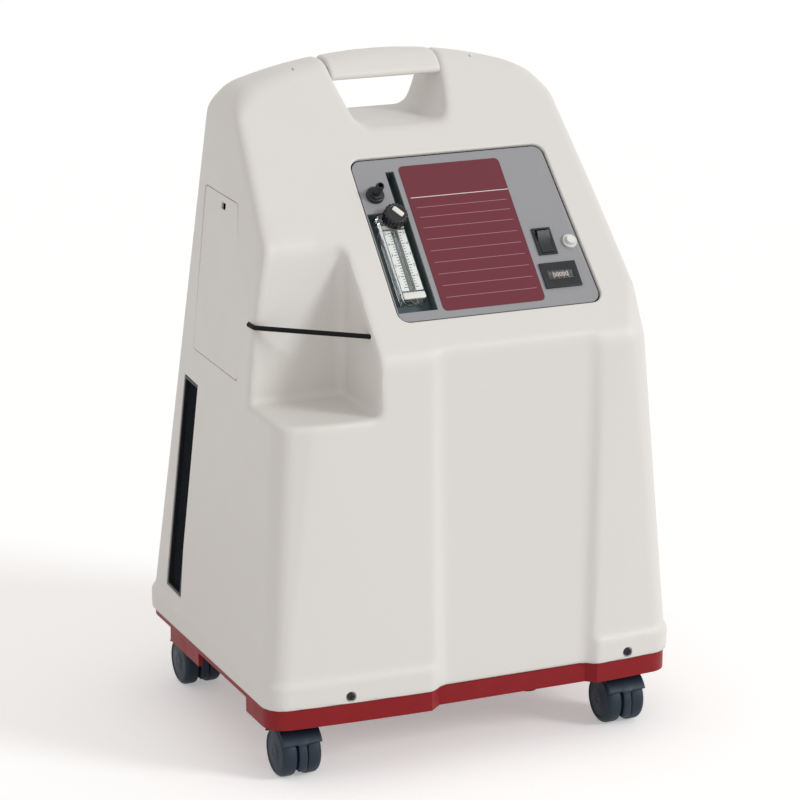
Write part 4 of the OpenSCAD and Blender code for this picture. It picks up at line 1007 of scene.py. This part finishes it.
def tube(name, path, radius, n=20, twist=0.0, relief=0.0):
    """A tube along points, with a braid's ridges round it; radius is a number or one for each point."""
    rings, up = [], Vector((0, 0, 1))
    radii = radius if isinstance(radius, list) else [radius] * len(path)
    run = 0.0
    for k, p in enumerate(path):
        p = Vector(p)
        before, after = Vector(path[max(k - 1, 0)]), Vector(path[min(k + 1, len(path) - 1)])
        run += (p - before).length
        t = (after - before).normalized()
        a = t.cross(up).normalized()
        b = t.cross(a)
        ring = []
        for j in range(n):
            ang = 2 * math.pi * j / n
            r = radii[k] * (1 + relief * math.sin(6 * ang + twist * run) * math.sin(6 * ang - twist * run))
            ring.append(tuple(p + a * r * math.cos(ang) + b * r * math.sin(ang)))
        rings.append(ring)
    return loft(name, rings)


def arc_path(points, radii, step=1.2):
    """Straight runs joined by arcs, as closely spaced points."""
    pts = [Vector(p) for p in points]
    out = [pts[0]]
    for k in range(1, len(pts) - 1):
        a, b, c = pts[k - 1], pts[k], pts[k + 1]
        u, v = (a - b).normalized(), (c - b).normalized()
        half = u.angle(v) / 2
        cutback = radii[k - 1] / math.tan(half)
        centre = b + (u + v).normalized() * radii[k - 1] / math.sin(half)
        p0, p1 = b + u * cutback - centre, b + v * cutback - centre
        for i in range(13):
            out.append(centre + p0.slerp(p1, i / 12))
    out.append(pts[-1])
    fine = []
    for a, b in zip(out[:-1], out[1:]):
        m = max(1, int((b - a).length / step))
        fine += [a + (b - a) * i / m for i in range(m)]
    return fine + [out[-1]]


def strap():
    path = arc_path([strap_back + Vector((11.3, 0, 0)), strap_back + Vector((-strap_off, 0, 0)), strap_turn,
                     strap_front + 5.2 * strap_aim], [3.0, 4.0])
    radii = [strap_r] * len(path)
    # the knot at the rear end
    for k in range(6):
        radii[k] += 1.2 * math.sin(math.pi * min(1, (k + 0.5) / 5.5))
    cord = sharp(tube("elastic_strap", path, radii, 24, 1.3, 0.03), 60)
    piece(cord, "chassis", "rubber_black", "bottle_strap")


foam_pad("left_foam_pad", False)
foam_pad("right_foam_pad", True)
strap()


# ---------------------------------------------------------------- casters
wheel_r, wheel_w, wheel_pitch, trail = 25.0, 16.0, 25.5, 15.0
band_z, shift, caster_side, caster_end = skirt_z - 19.5, -4.0, 43.5, 57.5


def hood_surface():
    """One caster's hood, web, neck, axle and stem about its swivel axis, the wheel trailing towards +y."""
    f = Field((-32, -24, 2), (32, 50, 66), 1.0)
    width = wheel_pitch / 2 + wheel_w / 2
    rho = np.sqrt((f.y - trail) ** 2 + (f.z - wheel_r) ** 2)
    roof = meet(np.abs(rho - 27.5) - 1.0, np.abs(f.x) - width, 0.9)
    roof = meet(roof, wheel_r + 13.0 - f.z, 0.9)
    web = meet(rho - 27.0, np.abs(f.x) - 4.2, 1.5)
    web = meet(web, (8.5 - f.z) + 0 * f.x, 2.0)
    neck = meet(np.sqrt(f.x ** 2 + f.y ** 2) - 16, f.z - (band_z - 0.6), 1.2)
    neck = np.maximum(neck, 27.8 - rho)
    neck = np.maximum(neck, 38 - f.z)
    axle = meet(rho - 3.0, np.abs(f.x) - width - 0.4, 0.5)
    d = join(join(roof, web, 2.5), neck, 4.0)
    d = np.minimum(d, axle)
    stem = np.maximum(np.sqrt(f.x ** 2 + f.y ** 2) - 5.4, f.z - 64)
    d = np.minimum(d, np.maximum(stem, 50 - f.z))
    obj = f.surface(d, "hood", 0.02)
    pts = np.array([tuple(v.co) for v in obj.data.vertices]) / MM
    faces = [tuple(p.vertices) for p in obj.data.polygons]
    bpy.data.objects.remove(obj)
    return pts, faces


hood_points, hood_faces = hood_surface()
# radius and place along the axle, outwards
WHEEL = [(3.2, -7.6), (11, -7.6), (17, -7.9), (20, -8.0), (22.8, -7.6), (24.4, -6.6), (25, -4.8), (25, 0),
         (25, 2.4), (24.6, 4.4), (23.6, 6.0), (22.0, 7.2), (20.2, 7.8), (19.4, 7.7), (18.9, 7.1), (14, 7.5),
         (9.2, 7.9), (8.6, 8.2), (7.0, 8.4), (5.2, 8.4), (3.2, 8.4)]


def wheel_place(px, py, way, side):
    """From a wheel's own frame, h outwards along the axle, to the part."""
    def place(a, b, h):
        return (px + side * (wheel_pitch / 2 + h), py + way * (trail + a), wheel_r + b)
    return place


def casters():
    for key, right, rear in (("fl", 0, 0), ("fr", 1, 0), ("rl", 0, 1), ("rr", 1, 1)):
        px = (1 if right else -1) * (skirt_w / 2 - caster_side) + shift
        py = (1 if rear else -1) * (skirt_d / 2 - caster_end)
        way = 1 if rear else -1
        pts = [(px + x, py + way * y, z) for x, y, z in hood_points]
        hood = sharp(outward(add_mesh(key + "_hood", pts, hood_faces)), 50)
        piece(hood, key + "_caster", "caster_plastic", key + "_housing")
        for letter, side in (("a", -1), ("b", 1)):
            place = wheel_place(px, py, way, side)
            wheel = sharp(lathe(f"{key}_twin_{letter}", WHEEL, place, 72, True), 40)
            piece(wheel, f"{key}_wheel_{letter}", "wheel_rubber", f"{key}_wheel_{letter}")


casters()


# ---------------------------------------------------------------- floor, backdrop and light
KEY, AMBIENT = 1.27, 0.63
FLOOR_GLOW = 0.33        # light added to the floor for camera, glossy and transmission rays


def studio():
    me = bpy.data.meshes.new("floor")
    bm = bmesh.new()
    bmesh.ops.create_grid(bm, x_segments=8, y_segments=8, size=25)
    bm.to_mesh(me)
    bm.free()
    floor = bpy.data.objects.new("floor", me)
    scene.collection.objects.link(floor)
    mat = bpy.data.materials.new("floor_white")
    mat.use_nodes = True
    t = mat.node_tree
    shader = t.nodes["Principled BSDF"]
    shader.inputs["Base Color"].default_value = (0.86, 0.86, 0.86, 1)
    shader.inputs["Roughness"].default_value = 0.9
    shader.inputs["Specular IOR Level"].default_value = 0.1
    glow = t.nodes.new("ShaderNodeEmission")
    both = t.nodes.new("ShaderNodeAddShader")
    t.links.new(shader.outputs[0], both.inputs[0])
    t.links.new(glow.outputs[0], both.inputs[1])
    t.links.new(both.outputs[0], t.nodes["Material Output"].inputs[0])
    t.links.new(seen(t, 0.0, FLOOR_GLOW), glow.inputs["Strength"])
    me.materials.append(mat)
    world = bpy.data.worlds.new("studio")
    scene.world = world
    world.use_nodes = True
    t = world.node_tree
    back = t.nodes["Background"]
    mix = t.nodes.new("ShaderNodeMixShader")
    white = t.nodes.new("ShaderNodeBackground")
    white.inputs["Strength"].default_value = 1.0
    white.inputs["Color"].default_value = (1, 1, 1, 1)
    back.inputs["Color"].default_value = (1.0, 0.958, 0.932, 1)
    back.inputs["Strength"].default_value = AMBIENT
    t.links.new(seen(t, 0.0, 1.0), mix.inputs[0])
    t.links.new(back.outputs[0], mix.inputs[1])
    t.links.new(white.outputs[0], mix.inputs[2])
    t.links.new(mix.outputs[0], t.nodes["World Output"].inputs[0])
    lamp = bpy.data.lights.new("key", "SUN")
    key = bpy.data.objects.new("key", lamp)
    scene.collection.objects.link(key)
    key.rotation_euler = (math.radians(63), 0, math.radians(45))
    lamp.energy = KEY
    lamp.angle = math.radians(16)
    lamp.color = (0.97, 1.0, 0.995)


def seen(tree, off, on):
    """on for camera, glossy and transmission rays, else off."""
    path = tree.nodes.new("ShaderNodeLightPath")
    total = None
    for ray in ("Is Camera Ray", "Is Glossy Ray", "Is Transmission Ray"):
        if total is None:
            total = path.outputs[ray]
            continue
        add = tree.nodes.new("ShaderNodeMath")
        add.operation = "MAXIMUM"
        tree.links.new(total, add.inputs[0])
        tree.links.new(path.outputs[ray], add.inputs[1])
        total = add.outputs[0]
    span = tree.nodes.new("ShaderNodeMapRange")
    span.inputs["To Min"].default_value = off
    span.inputs["To Max"].default_value = on
    tree.links.new(total, span.inputs["Value"])
    return span.outputs[0]


studio()
scene.view_settings.view_transform = "Standard"
